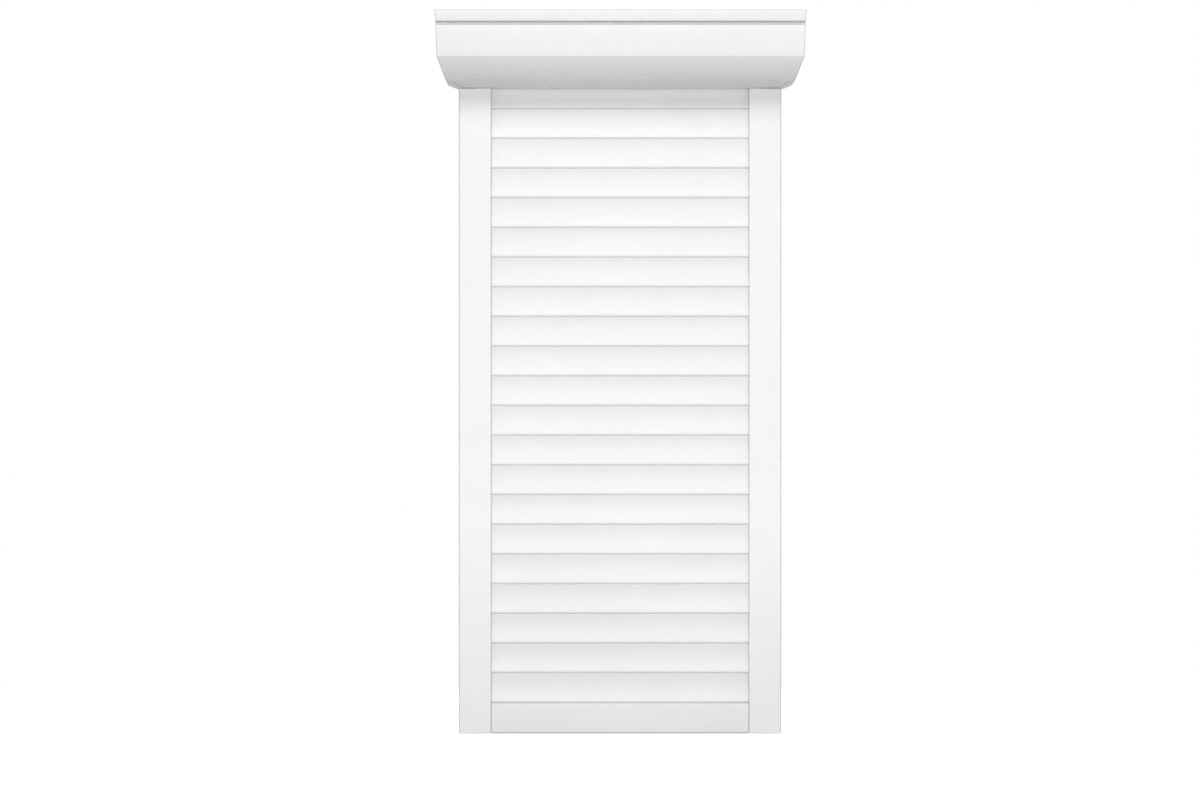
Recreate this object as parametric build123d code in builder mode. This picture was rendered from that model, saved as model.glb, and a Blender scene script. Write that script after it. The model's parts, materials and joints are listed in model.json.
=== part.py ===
from build123d import *

import math
import os

# Exterior roller shutter, closed, in millimetres.
# X runs to the right, the wall is the plane Y = 0, the front faces -Y and Z is up.
# The origin is the centre of the wall screws, on the wall, halfway up the guide rails.
# Sections are drawn as (depth in front of the wall, height), plans as (X, depth).

# Overall size
overall_width = 900.0
rail_length = 1800.0

# Guide rails
rail_width = 90.0
rail_depth = 34.0
rail_wall = 1.8
channel_depth = 38.0
screw_edge_distance = 27.0
wall_hole_radius = 3.5
wall_hole_end_distance = 150.0
wall_holes_per_rail = 4

# Clip-on cover of a rail
cover_wall = 1.6
cover_corner_radius = 1.2
cover_lip_length = 5.0
cover_fit = 0.2
clip_leg_length = 8.0
clip_leg_wall = 1.4
clip_rib_width = 1.2
clip_rib_height = 1.0
clip_rib_setback = 3.4
clip_barb_height = 1.6

# Brush seals and their holders
holder_setback = 3.0
holder_width = 7.0
holder_height = 3.0
holder_wall = 1.0
holder_mouth = 2.6
seal_fit = 0.15
seal_blade_wall = 1.8
seal_gap = 0.3

# Plastic feet under the rails
foot_wall = 2.0
foot_plug_height = 12.0
foot_plug_wall = 1.6
foot_plug_fit = 0.3

# Slats
slat_pitch_wanted = 83.0
top_axis_rise = 33.0
slat_overlap = 26.0
slat_wall = 1.2
slat_bow = 3.0
interlock_depth = 15.0
interlock_radius = 5.5
interlock_wall = 1.3
interlock_fit = 0.5
interlock_back_angle = 12.0
interlock_margin_angle = 12.0
slat_shoulder_gap = 0.4
slat_web_wall = 1.2
hook_mouth_angle = 70.0
curl_sides = 12
hook_sides = 8

# End locks on the slats
lock_wall = 2.0
lock_plug_length = 8.0
lock_plug_height = 14.0
lock_fit = 0.3
slats_per_lock = 2

# Bottom slat
bottom_slat_height = 90.0
bottom_slat_depth = 31.0
bottom_slat_wall = 1.8
bottom_slat_end_gap = 2.0
bottom_slat_lift = 2.5
bottom_corner_radius = 1.5
seal_head_width = 6.0
seal_head_height = 2.0
seal_neck_width = 3.0
seal_foot_width = 9.0
seal_end_gap = 1.0
seal_slot_fit = 0.2

# Box
box_height = 196.0
box_depth = 205.0
panel_wall = 1.5
underside_rise = 12.0
chamfer_size = 57.0
lip_height = 32.0
groove_height = 7.0
groove_depth = 6.0
groove_fit = 0.4
lap_fit = 0.1
cover_upstand = 14.0
cover_flange = 16.0
slot_front_depth = 24.0
slot_upstand = 7.0
panel_corner_radius = 2.5

# Flared ends of the box, measured outwards from the rails' outer sides
flare_underside = 31.0
flare_chamfer = 52.0
flare_groove = 55.0
flare_top = 58.0
cap_wall = 3.0
side_plate_wall = 3.0
side_plate_inset = 7.0

# Screws under the box
screw_head_radius = 4.0
screw_head_sides = 6
screw_shank_sides = 8
screw_head_height = 2.0
screw_shank_radius = 1.9
screw_hole_fit = 0.2
screw_shank_length = 6.0
screw_rows = 5
screw_end_distance = 40.0

# Entry funnels on top of the rails
funnel_height = 22.0
funnel_front_gap = 2.0
funnel_back_gap = 2.0
funnel_flare = 5.0
funnel_side_wall = 3.0

# Winding tube
tube_flats = 60.0
tube_wall = 1.0
tube_depth = 102.5
tube_rise = 98.0
tube_end_gap = 19.0
octagon_sides = 8
top_flat_angle = 90.0

# Idler end, on the left
capsule_length = 60.0
capsule_fit = 0.15
capsule_flange_wall = 3.0
capsule_hub_wall = 10.0
capsule_bore_radius = 22.0
pin_radius = 6.0
pin_tail = 20.0
pin_fit = 0.05
bearing_flange_radius = 26.0
bearing_flange_wall = 3.0
bearing_length = 11.0
bearing_boss_radius = 17.0
bearing_inner_radius = 10.0
running_fit = 0.05
bearing_end_gap = 0.5

# Motor end, on the right
motor_radius = 22.5
motor_length = 480.0
motor_shell = 3.0
motor_gear_wall = 16.0
motor_head_radius = 27.0
motor_head_length = 12.0
motor_spigot_length = 10.0
motor_spigot_fit = 0.1
motor_bracket_size = 70.0
motor_bracket_wall = 4.0
bracket_corner_cut = 8.0
motor_clip_width = 9.0
motor_clip_wall = 1.2
motor_clip_angle = 120.0
crown_length = 18.0
drive_wheel_length = 16.0
drive_shaft_radius = 7.0
drive_shaft_length = 14.0
drive_wheel_gap = 0.5

# Hanger straps between the top slat and the tube
strap_count = 3
strap_spacing = 250.0
strap_width = 25.0
strap_wall = 1.2
strap_hook_gap = 0.3
strap_tube_gap = 1.2
strap_end_angle = 58.0
strap_mouth_angle = 70.0
strap_clip_length = 12.0
strap_clip_wall = 1.6
strap_clip_angle = 45.0

# Cable grommet in the back of the box
grommet_edge_distance = 34.0
grommet_drop = 30.0
grommet_radius = 7.0
grommet_flange_radius = 10.0
grommet_flange_wall = 2.0
grommet_bore_radius = 3.5
grommet_fit = 0.1

# Movement: the top slat leans towards the tube and folds further as the curtain rises
top_slat_lean = 25.0
top_slat_fold = 45.0

# Sides of the turned pieces that nothing runs on
turned_sides = 16

# One overrun for every cut that passes right through
overrun = 5.0

# Places that follow from the sizes above
half_width = overall_width / 2
rail_top = rail_length / 2
rail_foot = -rail_length / 2
wall_hole_spacing = (rail_length - 2 * wall_hole_end_distance) / (wall_holes_per_rail - 1)
rail_inner = half_width - rail_width
base_front = rail_depth - cover_wall
channel_end = rail_inner + channel_depth
chamber_start = channel_end + rail_wall
chamber_end = half_width - rail_wall
slat_half = rail_inner + slat_overlap
slat_front = interlock_depth + interlock_radius
slat_rear = interlock_depth - interlock_radius
slat_back = slat_rear - slat_bow
bore_radius = interlock_radius - interlock_wall
hook_radius = bore_radius - interlock_fit
shoulder_drop = interlock_radius + slat_shoulder_gap
last_axis = rail_foot + bottom_slat_height
top_axis = rail_top + top_axis_rise
slat_count = round((top_axis - last_axis) / slat_pitch_wanted)
slat_pitch = (top_axis - last_axis) / slat_count
box_top = rail_top + box_height
underside_depth = box_depth - chamfer_size
chamfer_foot = rail_top + underside_rise
chamfer_head = chamfer_foot + chamfer_size
lip_foot = box_top - lip_height
groove_foot = lip_foot - groove_height
inner_top = box_top - panel_wall
side_plate_outside = half_width - cap_wall
side_plate_inside = side_plate_outside - side_plate_wall
tube_height = rail_top + tube_rise
tube_end = side_plate_inside - tube_end_gap
tube_inner_flats = tube_flats - 2 * tube_wall
half_octagon_angle = 180.0 / octagon_sides

os.makedirs("parts", exist_ok=True)


def section_plane(x):
    """Plane across the shutter at x: depth in front of the wall, then height; extrudes to the left."""
    return Plane(origin=(x, 0, 0), x_dir=(0, -1, 0), z_dir=(-1, 0, 0))


def plan_plane(height):
    """Plane at a height: X, then depth in front of the wall; extrudes downwards."""
    return Plane(origin=(0, 0, height), x_dir=(1, 0, 0), z_dir=(0, 0, -1))


def block(left, right, low, high, mode=Mode.ADD):
    """Rectangle between two places on each axis of the sketch."""
    with Locations((left, low)):
        Rectangle(right - left, high - low, align=(Align.MIN, Align.MIN), mode=mode)


def write(part, name):
    """Label a finished piece and write it to its own file."""
    part.label = name
    export_step(part, f"parts/{name}.step")


def write_pair(part, name):
    """Write a right-hand piece and its mirror image on the left."""
    write(part, f"{name}_right")
    with BuildPart() as left_hand:
        mirror(part, about=Plane.YZ)
    write(left_hand.part, f"{name}_left")


# Guide rail: guide channel towards the curtain, screw chamber towards the outside
holder_start = rail_inner + cover_wall + holder_setback
holder_end = holder_start + holder_width
holder_middle = (holder_start + holder_end) / 2
front_wall_inside = base_front - rail_wall
rib_front = base_front - clip_rib_setback
rib_back = rib_front - clip_rib_height

with BuildPart() as guide_rail:
    with BuildSketch(plan_plane(rail_top)) as rail_section:
        block(rail_inner, half_width, 0, base_front)
        block(rail_inner - overrun, channel_end, rail_wall, front_wall_inside, mode=Mode.SUBTRACT)
        block(chamber_start, chamber_end, rail_wall, rail_depth, mode=Mode.SUBTRACT)
        cover_edge = rail_inner + cover_wall + cover_fit
        lip_cut = rail_depth - cover_lip_length - cover_fit
        block(rail_inner - overrun, cover_edge, lip_cut, rail_depth, mode=Mode.SUBTRACT)
        block(chamber_start, chamber_start + clip_rib_width, rib_back, rib_front)
        block(chamber_end - clip_rib_width, chamber_end, rib_back, rib_front)
        # Two T-shaped holders for the brush seals, one on each wall of the channel
        for wall_face, inwards in ((rail_wall, 1), (front_wall_inside, -1)):
            holder_face = wall_face + inwards * holder_height
            slot_face = wall_face + inwards * (holder_height - holder_wall)
            low, high = sorted((wall_face, holder_face))
            block(holder_start, holder_end, low, high)
            low, high = sorted((wall_face, slot_face))
            block(holder_start + holder_wall, holder_end - holder_wall, low, high, mode=Mode.SUBTRACT)
            low, high = sorted((slot_face, holder_face))
            mouth = holder_mouth / 2
            block(holder_middle - mouth, holder_middle + mouth, low, high, mode=Mode.SUBTRACT)
    extrude(amount=rail_length - foot_wall)
    # Holes for the wall screws, through the back wall of the screw chamber
    with BuildSketch(Plane.XZ) as wall_holes:
        with Locations((half_width - screw_edge_distance, 0)):
            with GridLocations(0, wall_hole_spacing, 1, wall_holes_per_rail):
                Circle(wall_hole_radius)
    extrude(amount=rail_wall + overrun, both=True, mode=Mode.SUBTRACT)
write_pair(guide_rail.part, "guide_rail")

# Clip-on cover: full width of the rail, one lip over the channel wall and two clip legs
with BuildPart() as rail_cover:
    with BuildSketch(plan_plane(rail_top)) as cover_section:
        block(rail_inner, half_width, base_front, rail_depth)
        block(rail_inner, rail_inner + cover_wall, rail_depth - cover_lip_length, rail_depth)
        leg_back = base_front - clip_leg_length
        barb_front = rib_back - cover_fit
        for rib_edge, outwards in ((chamber_start + clip_rib_width, -1), (chamber_end - clip_rib_width, 1)):
            leg_face = rib_edge - outwards * cover_fit
            leg_far = leg_face - outwards * clip_leg_wall
            left, right = sorted((leg_face, leg_far))
            block(left, right, leg_back, base_front)
            barb_tip = rib_edge + outwards * clip_rib_width / 2
            left, right = sorted((leg_face, barb_tip))
            block(left, right, barb_front - clip_barb_height, barb_front)
        front_corners = cover_section.vertices().group_by(Axis.Y)[-1]
        fillet(front_corners, radius=cover_corner_radius)
    extrude(amount=rail_length - foot_wall)
write_pair(rail_cover.part, "rail_cover")

# Brush seals: a backing strip in each holder, with its blade against the slats
with BuildPart() as brush_seal:
    with BuildSketch(plan_plane(rail_top)) as seal_section:
        half_backing = holder_width / 2 - holder_wall - seal_fit
        backing = holder_height - holder_wall - seal_fit
        for wall_face, inwards, tip in (
            (rail_wall, 1, slat_back - seal_gap),
            (front_wall_inside, -1, slat_front + seal_gap),
        ):
            low, high = sorted((wall_face, wall_face + inwards * backing))
            block(holder_middle - half_backing, holder_middle + half_backing, low, high)
            low, high = sorted((wall_face, tip))
            block(holder_middle - seal_blade_wall / 2, holder_middle + seal_blade_wall / 2, low, high)
    extrude(amount=rail_length - foot_wall)
write_pair(brush_seal.part, "brush_seal")

# Plastic foot that closes the rail's lower end, with a hollow plug in the screw chamber
with BuildPart() as rail_foot_cap:
    with BuildSketch(plan_plane(rail_foot + foot_wall)) as foot_outline:
        block(rail_inner, half_width, 0, rail_depth)
        foot_corners = foot_outline.vertices().group_by(Axis.Y)[-1]
        fillet(foot_corners, radius=cover_corner_radius)
    extrude(amount=foot_wall)
    with BuildSketch(plan_plane(rail_foot + foot_wall + foot_plug_height)) as foot_plug:
        plug_left = chamber_start + foot_plug_fit
        plug_right = chamber_end - foot_plug_fit
        plug_back = rail_wall + foot_plug_fit
        plug_front = base_front - clip_leg_length - foot_plug_fit
        block(plug_left, plug_right, plug_back, plug_front)
        block(
            plug_left + foot_plug_wall,
            plug_right - foot_plug_wall,
            plug_back + foot_plug_wall,
            plug_front - foot_plug_wall,
            mode=Mode.SUBTRACT,
        )
    extrude(amount=foot_plug_height)
write_pair(rail_foot_cap.part, "rail_foot")


shoulder = top_axis + slat_pitch - shoulder_drop
web_height = (top_axis + shoulder) / 2


def slat_body():
    """Closed outline of the top slat between its interlock axis and its shoulder."""
    with BuildLine() as outline:
        face = ThreePointArc((slat_front, top_axis), (slat_front - slat_bow, web_height), (slat_front, shoulder))
        rear = ThreePointArc((slat_rear, shoulder), (slat_back, web_height), (slat_rear, top_axis))
        Line(face @ 1, rear @ 0)
        Line(rear @ 1, face @ 0)
    make_face(outline.edges())


def cut_mouth(radius, start, end):
    """Open a curl at the present location with a wedge between two angles in degrees."""
    corners = [(0, 0)]
    for angle in (start, (start + end) / 2, end):
        turn = math.radians(angle)
        corners.append((radius * math.cos(turn), radius * math.sin(turn)))
    Polygon(*corners, align=None, mode=Mode.SUBTRACT)


def hook(height):
    """Stem and open curl that a slat above rides on, with the curl's centre at this height."""
    stem = interlock_wall / 2
    curl_bottom = height - hook_radius + stem
    block(interlock_depth - stem, interlock_depth + stem, height - shoulder_drop - stem, curl_bottom)
    with Locations((interlock_depth, height)):
        RegularPolygon(hook_radius, hook_sides)
        RegularPolygon(hook_radius - interlock_wall, hook_sides, mode=Mode.SUBTRACT)
        cut_mouth(2 * hook_radius, 90.0, 90.0 + hook_mouth_angle)


# Slat: two bowed skins with a web between, a curl that hangs on the slat below's hook, and its own hook
with BuildSketch(section_plane(slat_half)) as slat_hollow:
    slat_body()
    offset(amount=-slat_wall, kind=Kind.INTERSECTION)
    with Locations((interlock_depth, top_axis)):
        RegularPolygon(interlock_radius, curl_sides, mode=Mode.SUBTRACT)
    block(0, rail_depth, web_height - slat_web_wall / 2, web_height + slat_web_wall / 2, mode=Mode.SUBTRACT)

with BuildPart() as slat:
    with BuildSketch(section_plane(slat_half)) as slat_section:
        slat_body()
        with Locations((interlock_depth, top_axis)):
            RegularPolygon(interlock_radius, curl_sides)
        add(slat_hollow.sketch_local, mode=Mode.SUBTRACT)
        with Locations((interlock_depth, top_axis)):
            RegularPolygon(bore_radius, curl_sides, mode=Mode.SUBTRACT)
            swing = top_slat_lean + top_slat_fold + interlock_margin_angle
            cut_mouth(2 * interlock_radius, -90.0 - interlock_back_angle, -90.0 + swing)
        hook(top_axis + slat_pitch)
    extrude(amount=2 * slat_half)

# The top slat has a round bore, because it folds about it, and leans towards the tube in the box
with BuildPart() as top_slat:
    add(slat.part)
    with BuildSketch(section_plane(slat_half)) as fold_bore:
        with Locations((interlock_depth, top_axis)):
            Circle(bore_radius)
    extrude(amount=2 * slat_half, mode=Mode.SUBTRACT)
lean_axis = Axis((0, -interlock_depth, top_axis), (1, 0, 0))
write(top_slat.part.rotate(lean_axis, top_slat_lean), "slat_00")

# The others form the curtain
for number in range(1, slat_count + 1):
    with BuildPart() as curtain_slat:
        with Locations((0, 0, -number * slat_pitch)):
            add(slat.part)
    write(curtain_slat.part, f"slat_{number:02d}")

# End locks: a plate on the ends of every second slat, with a plug in the slat's upper cell
with BuildPart() as end_lock:
    with BuildSketch(section_plane(slat_half + lock_wall)) as lock_plate:
        Polygon(
            (slat_front, top_axis),
            (slat_front - slat_bow, web_height),
            (slat_front, shoulder),
            (slat_rear, shoulder),
            (slat_back, web_height),
            (slat_rear, top_axis),
            align=None,
        )
    extrude(amount=lock_wall)
    with BuildSketch(section_plane(slat_half)) as lock_plug:
        plug_foot = slat_web_wall / 2 + lock_fit
        plug_head = plug_foot + lock_plug_height
        bow_at_head = slat_bow * (1 - (plug_head / (shoulder - web_height)) ** 2)
        plug_rear = slat_rear - bow_at_head + slat_wall + lock_fit
        plug_front = slat_front - slat_bow - slat_wall - lock_fit
        block(plug_rear, plug_front, web_height + plug_foot, web_height + plug_head)
    extrude(amount=lock_plug_length)

with BuildPart() as end_locks:
    locked_slats = range(1, slat_count + 1, slats_per_lock)
    with Locations(*[(0, 0, -number * slat_pitch) for number in locked_slats]):
        add(end_lock.part)
write_pair(end_locks.part, "end_locks")

# Bottom slat: deep hollow bar between the rails, with a thinner tongue in each guide channel
bottom_foot = rail_foot + bottom_slat_lift
bottom_shoulder = last_axis - shoulder_drop
bottom_bar_half = rail_inner - bottom_slat_end_gap
seal_depth = (slat_front + bottom_slat_depth) / 2

with BuildPart() as bottom_slat:
    with BuildSketch(section_plane(slat_half)) as bottom_section:
        block(slat_rear, bottom_slat_depth, bottom_foot, bottom_shoulder)
        fillet(bottom_section.vertices().group_by(Axis.X)[-1], radius=bottom_corner_radius)
        low = bottom_foot + bottom_slat_wall
        high = bottom_shoulder - bottom_slat_wall
        block(slat_rear + bottom_slat_wall, slat_front - bottom_slat_wall, low, high, mode=Mode.SUBTRACT)
        block(slat_front, bottom_slat_depth - bottom_slat_wall, low, high, mode=Mode.SUBTRACT)
        neck = seal_neck_width / 2 + seal_slot_fit
        block(seal_depth - neck, seal_depth + neck, bottom_foot - overrun, low, mode=Mode.SUBTRACT)
        hook(last_axis)
    extrude(amount=2 * slat_half)
    # The bar's deep front stops short of the rails on both sides
    with BuildSketch(plan_plane(bottom_shoulder + overrun)) as bar_ends:
        for start, end in ((-slat_half - overrun, -bottom_bar_half), (bottom_bar_half, slat_half + overrun)):
            block(start, end, slat_front, bottom_slat_depth + overrun)
    extrude(amount=bottom_slat_height + overrun, mode=Mode.SUBTRACT)
write(bottom_slat.part, "bottom_slat")

# Bottom seal: rubber strip, its head in the bar, its foot on the sill
with BuildPart() as bottom_seal:
    with BuildSketch(section_plane(bottom_bar_half - seal_end_gap)) as seal_strip:
        inside = bottom_foot + bottom_slat_wall
        half_foot = seal_foot_width / 2
        block(seal_depth - half_foot, seal_depth + half_foot, rail_foot, bottom_foot)
        half_neck = seal_neck_width / 2
        block(seal_depth - half_neck, seal_depth + half_neck, rail_foot, inside + seal_slot_fit)
        half_head = seal_head_width / 2
        head_foot = inside + seal_slot_fit
        block(seal_depth - half_head, seal_depth + half_head, head_foot, head_foot + seal_head_height)
    extrude(amount=2 * (bottom_bar_half - seal_end_gap))
write(bottom_seal.part, "bottom_seal")


def underside_height(depth):
    """Height of the box's underside at a depth in front of the wall."""
    return rail_top + underside_rise * (depth - rail_depth) / (underside_depth - rail_depth)


def front_outline():
    """Outline of the box seen from the front, run on above and below, for its flared ends."""
    right = [
        (half_width, rail_top - overrun),
        (half_width, rail_top),
        (half_width + flare_underside, chamfer_foot),
        (half_width + flare_chamfer, chamfer_head),
        (half_width + flare_groove, groove_foot),
        (half_width + flare_top, box_top),
        (half_width + flare_top, box_top + overrun),
    ]
    left = [(-x, z) for x, z in reversed(right)]
    Polygon(*right, *left, align=None)


def box_section():
    """Closed outline of the box seen from its end."""
    Polygon(
        (0, rail_top),
        (rail_depth, rail_top),
        (underside_depth, chamfer_foot),
        (box_depth, chamfer_head),
        (box_depth, box_top),
        (0, box_top),
        align=None,
    )


# Outline that the box's panels end on, one cap wall inside the flared ends
with BuildSketch(Plane.XZ) as panel_ends:
    front_outline()
    offset(amount=-cap_wall, kind=Kind.INTERSECTION)

half_box = half_width + flare_top + overrun

# Roof and back panel: one folded sheet, with a lip over the top of the front cover
grommet_x = half_width - grommet_edge_distance
grommet_z = box_top - grommet_drop
with BuildPart() as roof_back_panel:
    with BuildSketch(section_plane(half_box)) as roof_section:
        with BuildLine() as roof_line:
            FilletPolyline(
                (0, rail_top),
                (0, box_top),
                (box_depth, box_top),
                (box_depth, lip_foot),
                (box_depth - groove_depth + groove_fit, lip_foot),
                radius=panel_corner_radius,
            )
            offset(amount=panel_wall, side=Side.LEFT, kind=Kind.INTERSECTION)
        make_face()
    extrude(amount=2 * half_box)
    extrude(panel_ends.sketch, amount=box_depth + overrun, both=True, mode=Mode.INTERSECT)
    with BuildSketch(Plane.XZ) as grommet_hole:
        with Locations((grommet_x, grommet_z)):
            RegularPolygon(grommet_radius + grommet_fit, turned_sides)
    extrude(amount=panel_wall + overrun, both=True, mode=Mode.SUBTRACT)
write(roof_back_panel.part, "roof_back_panel")

# Front cover: removable folded sheet, tucked behind the roof's lip, with a flange under the box
cover_back = box_depth - groove_depth
flange_end = underside_depth - cover_flange
with BuildPart() as front_cover:
    with BuildSketch(section_plane(half_box)) as cover_sheet:
        with BuildLine() as cover_line:
            FilletPolyline(
                (cover_back, groove_foot + cover_upstand),
                (cover_back, groove_foot),
                (box_depth, groove_foot),
                (box_depth, chamfer_head),
                (underside_depth, chamfer_foot),
                (flange_end, underside_height(flange_end)),
                radius=panel_corner_radius,
            )
            offset(amount=panel_wall, side=Side.RIGHT, kind=Kind.INTERSECTION)
        make_face()
    extrude(amount=2 * half_box)
    extrude(panel_ends.sketch, amount=box_depth + overrun, both=True, mode=Mode.INTERSECT)

# Bottom panel: folded sheet from the slot in front of the curtain to the front cover
panel_lift = panel_wall + lap_fit
bottom_panel_end = underside_depth - panel_corner_radius
with BuildPart() as bottom_panel:
    with BuildSketch(section_plane(half_box)) as bottom_sheet:
        with BuildLine() as bottom_line:
            Polyline(
                (slot_front_depth, rail_top + panel_lift + slot_upstand),
                (slot_front_depth, rail_top + panel_lift),
                (rail_depth, rail_top + panel_lift),
                (bottom_panel_end, underside_height(bottom_panel_end) + panel_lift),
            )
            offset(amount=panel_wall, side=Side.LEFT, kind=Kind.INTERSECTION)
        make_face()
    extrude(amount=2 * half_box)
    extrude(panel_ends.sketch, amount=box_depth + overrun, both=True, mode=Mode.INTERSECT)
    # Over the rails the sheet stops at their front, which leaves room for the entry funnels
    with BuildSketch(plan_plane(box_top)) as rail_notches:
        for start, end in ((-half_box, -rail_inner), (rail_inner, half_box)):
            block(start, end, 0, rail_depth)
    extrude(amount=box_height + overrun, mode=Mode.SUBTRACT)

# Screws that hold the front cover's flange to the bottom panel
screw_depth = underside_depth - cover_flange / 2
underside_angle = math.atan2(underside_rise, underside_depth - rail_depth)
screw_plane = Plane(
    origin=(0, -screw_depth, underside_height(screw_depth)),
    x_dir=(1, 0, 0),
    z_dir=(0, -math.sin(underside_angle), -math.cos(underside_angle)),
)
screw_spacing = 2 * (half_width - screw_end_distance) / (screw_rows - 1)


def screw_outlines(radius, sides):
    """One outline of this many sides at each screw in the open sketch."""
    with GridLocations(screw_spacing, 0, screw_rows, 1):
        RegularPolygon(radius, sides)


with BuildSketch(screw_plane) as screw_holes:
    screw_outlines(screw_shank_radius + screw_hole_fit, screw_shank_sides)

with BuildPart() as drilled_cover:
    add(front_cover.part)
    extrude(screw_holes.sketch, amount=screw_shank_length, both=True, mode=Mode.SUBTRACT)
write(drilled_cover.part, "front_cover")

with BuildPart() as drilled_panel:
    add(bottom_panel.part)
    extrude(screw_holes.sketch, amount=screw_shank_length, both=True, mode=Mode.SUBTRACT)
write(drilled_panel.part, "bottom_panel")

with BuildPart() as cover_screws:
    with BuildSketch(screw_plane) as screw_heads:
        screw_outlines(screw_head_radius, screw_head_sides)
    extrude(amount=screw_head_height)
    with BuildSketch(screw_plane) as screw_shanks:
        screw_outlines(screw_shank_radius, screw_shank_sides)
    extrude(amount=-screw_shank_length)
write(cover_screws.part, "cover_screws")

# Flared end caps: sheet that follows the front outline, cut to the box's section
with BuildPart() as end_cap:
    with BuildSketch(Plane.XZ) as cap_outline:
        front_outline()
        add(panel_ends.sketch_local, mode=Mode.SUBTRACT)
        block(-half_box, 0, rail_top - box_height, box_top + box_height, mode=Mode.SUBTRACT)
    extrude(amount=box_depth)
    with BuildSketch(section_plane(half_box)) as cap_section:
        box_section()
        chosen = cap_section.vertices().group_by(Axis.X)[-1]
        fillet(chosen.sort_by(Axis.Y)[-1], radius=panel_corner_radius)
    extrude(amount=2 * half_box, mode=Mode.INTERSECT)
write_pair(end_cap.part, "end_cap")

# Side plates on top of the rails, which carry the tube
with BuildPart() as side_plate:
    with BuildSketch(section_plane(side_plate_outside)) as side_outline:
        front = box_depth - side_plate_inset - groove_depth
        Polygon(
            (panel_wall, rail_top),
            (rail_depth, rail_top),
            (rail_depth, rail_top + side_plate_inset),
            (underside_depth - side_plate_inset, chamfer_foot + side_plate_inset),
            (front, chamfer_head),
            (front, inner_top),
            (panel_wall, inner_top),
            align=None,
        )
        top_corners = side_outline.vertices().group_by(Axis.Y)[-1]
        fillet(top_corners.sort_by(Axis.X)[0], radius=panel_corner_radius)
    extrude(amount=side_plate_wall)
write_pair(side_plate.part, "side_plate")

# Entry funnels: lead-in blocks on top of the guide channels
with BuildPart() as entry_funnel:
    with BuildSketch(plan_plane(rail_top + funnel_height)) as funnel_plan:
        funnel_side = channel_end + rail_wall
        block(rail_inner, funnel_side, rail_wall, base_front)
        slot_rear = slat_back - funnel_back_gap
        slot_front = slat_front + funnel_front_gap
        slot_end = funnel_side - funnel_side_wall
        block(rail_inner, slot_end, slot_rear, slot_front, mode=Mode.SUBTRACT)
    extrude(amount=funnel_height)
    lead_in = entry_funnel.faces().sort_by(Axis.Z)[-1].edges().filter_by(Axis.X).sort_by(Axis.Y)[1]
    chamfer(lead_in, length=funnel_flare)
write_pair(entry_funnel.part, "entry_funnel")


def octagon(flats):
    """Octagon about the tube's axis, with flats at the top and bottom."""
    with Locations((tube_depth, tube_height)):
        RegularPolygon(flats / 2, octagon_sides, major_radius=False, rotation=half_octagon_angle)


def disc(radius, mode=Mode.ADD):
    """Circle about the tube's axis."""
    with Locations((tube_depth, tube_height)):
        Circle(radius, mode=mode)


def turned(radius, mode=Mode.ADD):
    """Many-sided outline about the tube's axis, for round pieces that nothing runs on."""
    with Locations((tube_depth, tube_height)):
        RegularPolygon(radius, turned_sides, mode=mode)


# Octagonal winding tube
with BuildPart() as octagonal_tube:
    with BuildSketch(section_plane(tube_end)) as tube_section:
        octagon(tube_flats)
        with Locations((tube_depth, tube_height)):
            RegularPolygon(
                tube_inner_flats / 2,
                octagon_sides,
                major_radius=False,
                rotation=half_octagon_angle,
                mode=Mode.SUBTRACT,
            )
    extrude(amount=2 * tube_end)
write(octagonal_tube.part, "octagonal_tube")

# Idler capsule in the tube's left end: flange, hub and hollow body
plug_flats = tube_inner_flats - 2 * capsule_fit
flange_face = -tube_end - capsule_flange_wall
with BuildPart() as idler_capsule:
    with BuildSketch(section_plane(-tube_end + capsule_length)) as capsule_body:
        octagon(plug_flats)
        turned(capsule_bore_radius, mode=Mode.SUBTRACT)
    extrude(amount=capsule_length)
    with BuildSketch(section_plane(-tube_end + capsule_hub_wall)) as capsule_hub:
        octagon(plug_flats)
        turned(pin_radius + pin_fit, mode=Mode.SUBTRACT)
    extrude(amount=capsule_hub_wall)
    with BuildSketch(section_plane(-tube_end)) as capsule_flange:
        octagon(tube_flats)
        turned(pin_radius + pin_fit, mode=Mode.SUBTRACT)
    extrude(amount=capsule_flange_wall)
write(idler_capsule.part, "idler_capsule")

# Idler pin, and the plain bearing that it turns in on the left side plate
pin_end = -side_plate_inside + bearing_end_gap
with BuildPart() as idler_pin:
    with BuildSketch(section_plane(-tube_end + capsule_hub_wall + pin_tail)) as pin_section:
        turned(pin_radius)
    extrude(amount=-tube_end + capsule_hub_wall + pin_tail - pin_end)
write(idler_pin.part, "idler_pin")

with BuildPart() as bearing_inner:
    with BuildSketch(section_plane(pin_end + bearing_length - bearing_end_gap)) as inner_ring:
        disc(bearing_inner_radius)
        turned(pin_radius + pin_fit, mode=Mode.SUBTRACT)
    extrude(amount=bearing_length - bearing_end_gap)
write(bearing_inner.part, "bearing_inner")

with BuildPart() as bearing_outer:
    with BuildSketch(section_plane(-side_plate_inside + bearing_flange_wall)) as bearing_flange:
        turned(bearing_flange_radius)
        disc(bearing_inner_radius + running_fit, mode=Mode.SUBTRACT)
    extrude(amount=bearing_flange_wall)
    with BuildSketch(section_plane(-side_plate_inside + bearing_length)) as bearing_boss:
        turned(bearing_boss_radius)
        disc(bearing_inner_radius + running_fit, mode=Mode.SUBTRACT)
    extrude(amount=bearing_length)
write(bearing_outer.part, "bearing_outer")

# Motor bracket on the right side plate, with the motor's head on it
bracket_face = side_plate_inside - motor_bracket_wall
head_face = bracket_face - motor_head_length
with BuildPart() as motor_bracket:
    with BuildSketch(section_plane(side_plate_inside)) as bracket_outline:
        with Locations((tube_depth, tube_height)):
            Rectangle(motor_bracket_size, motor_bracket_size)
        chamfer(bracket_outline.vertices(), length=bracket_corner_cut)
    extrude(amount=motor_bracket_wall)
write(motor_bracket.part, "motor_bracket")

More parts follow.
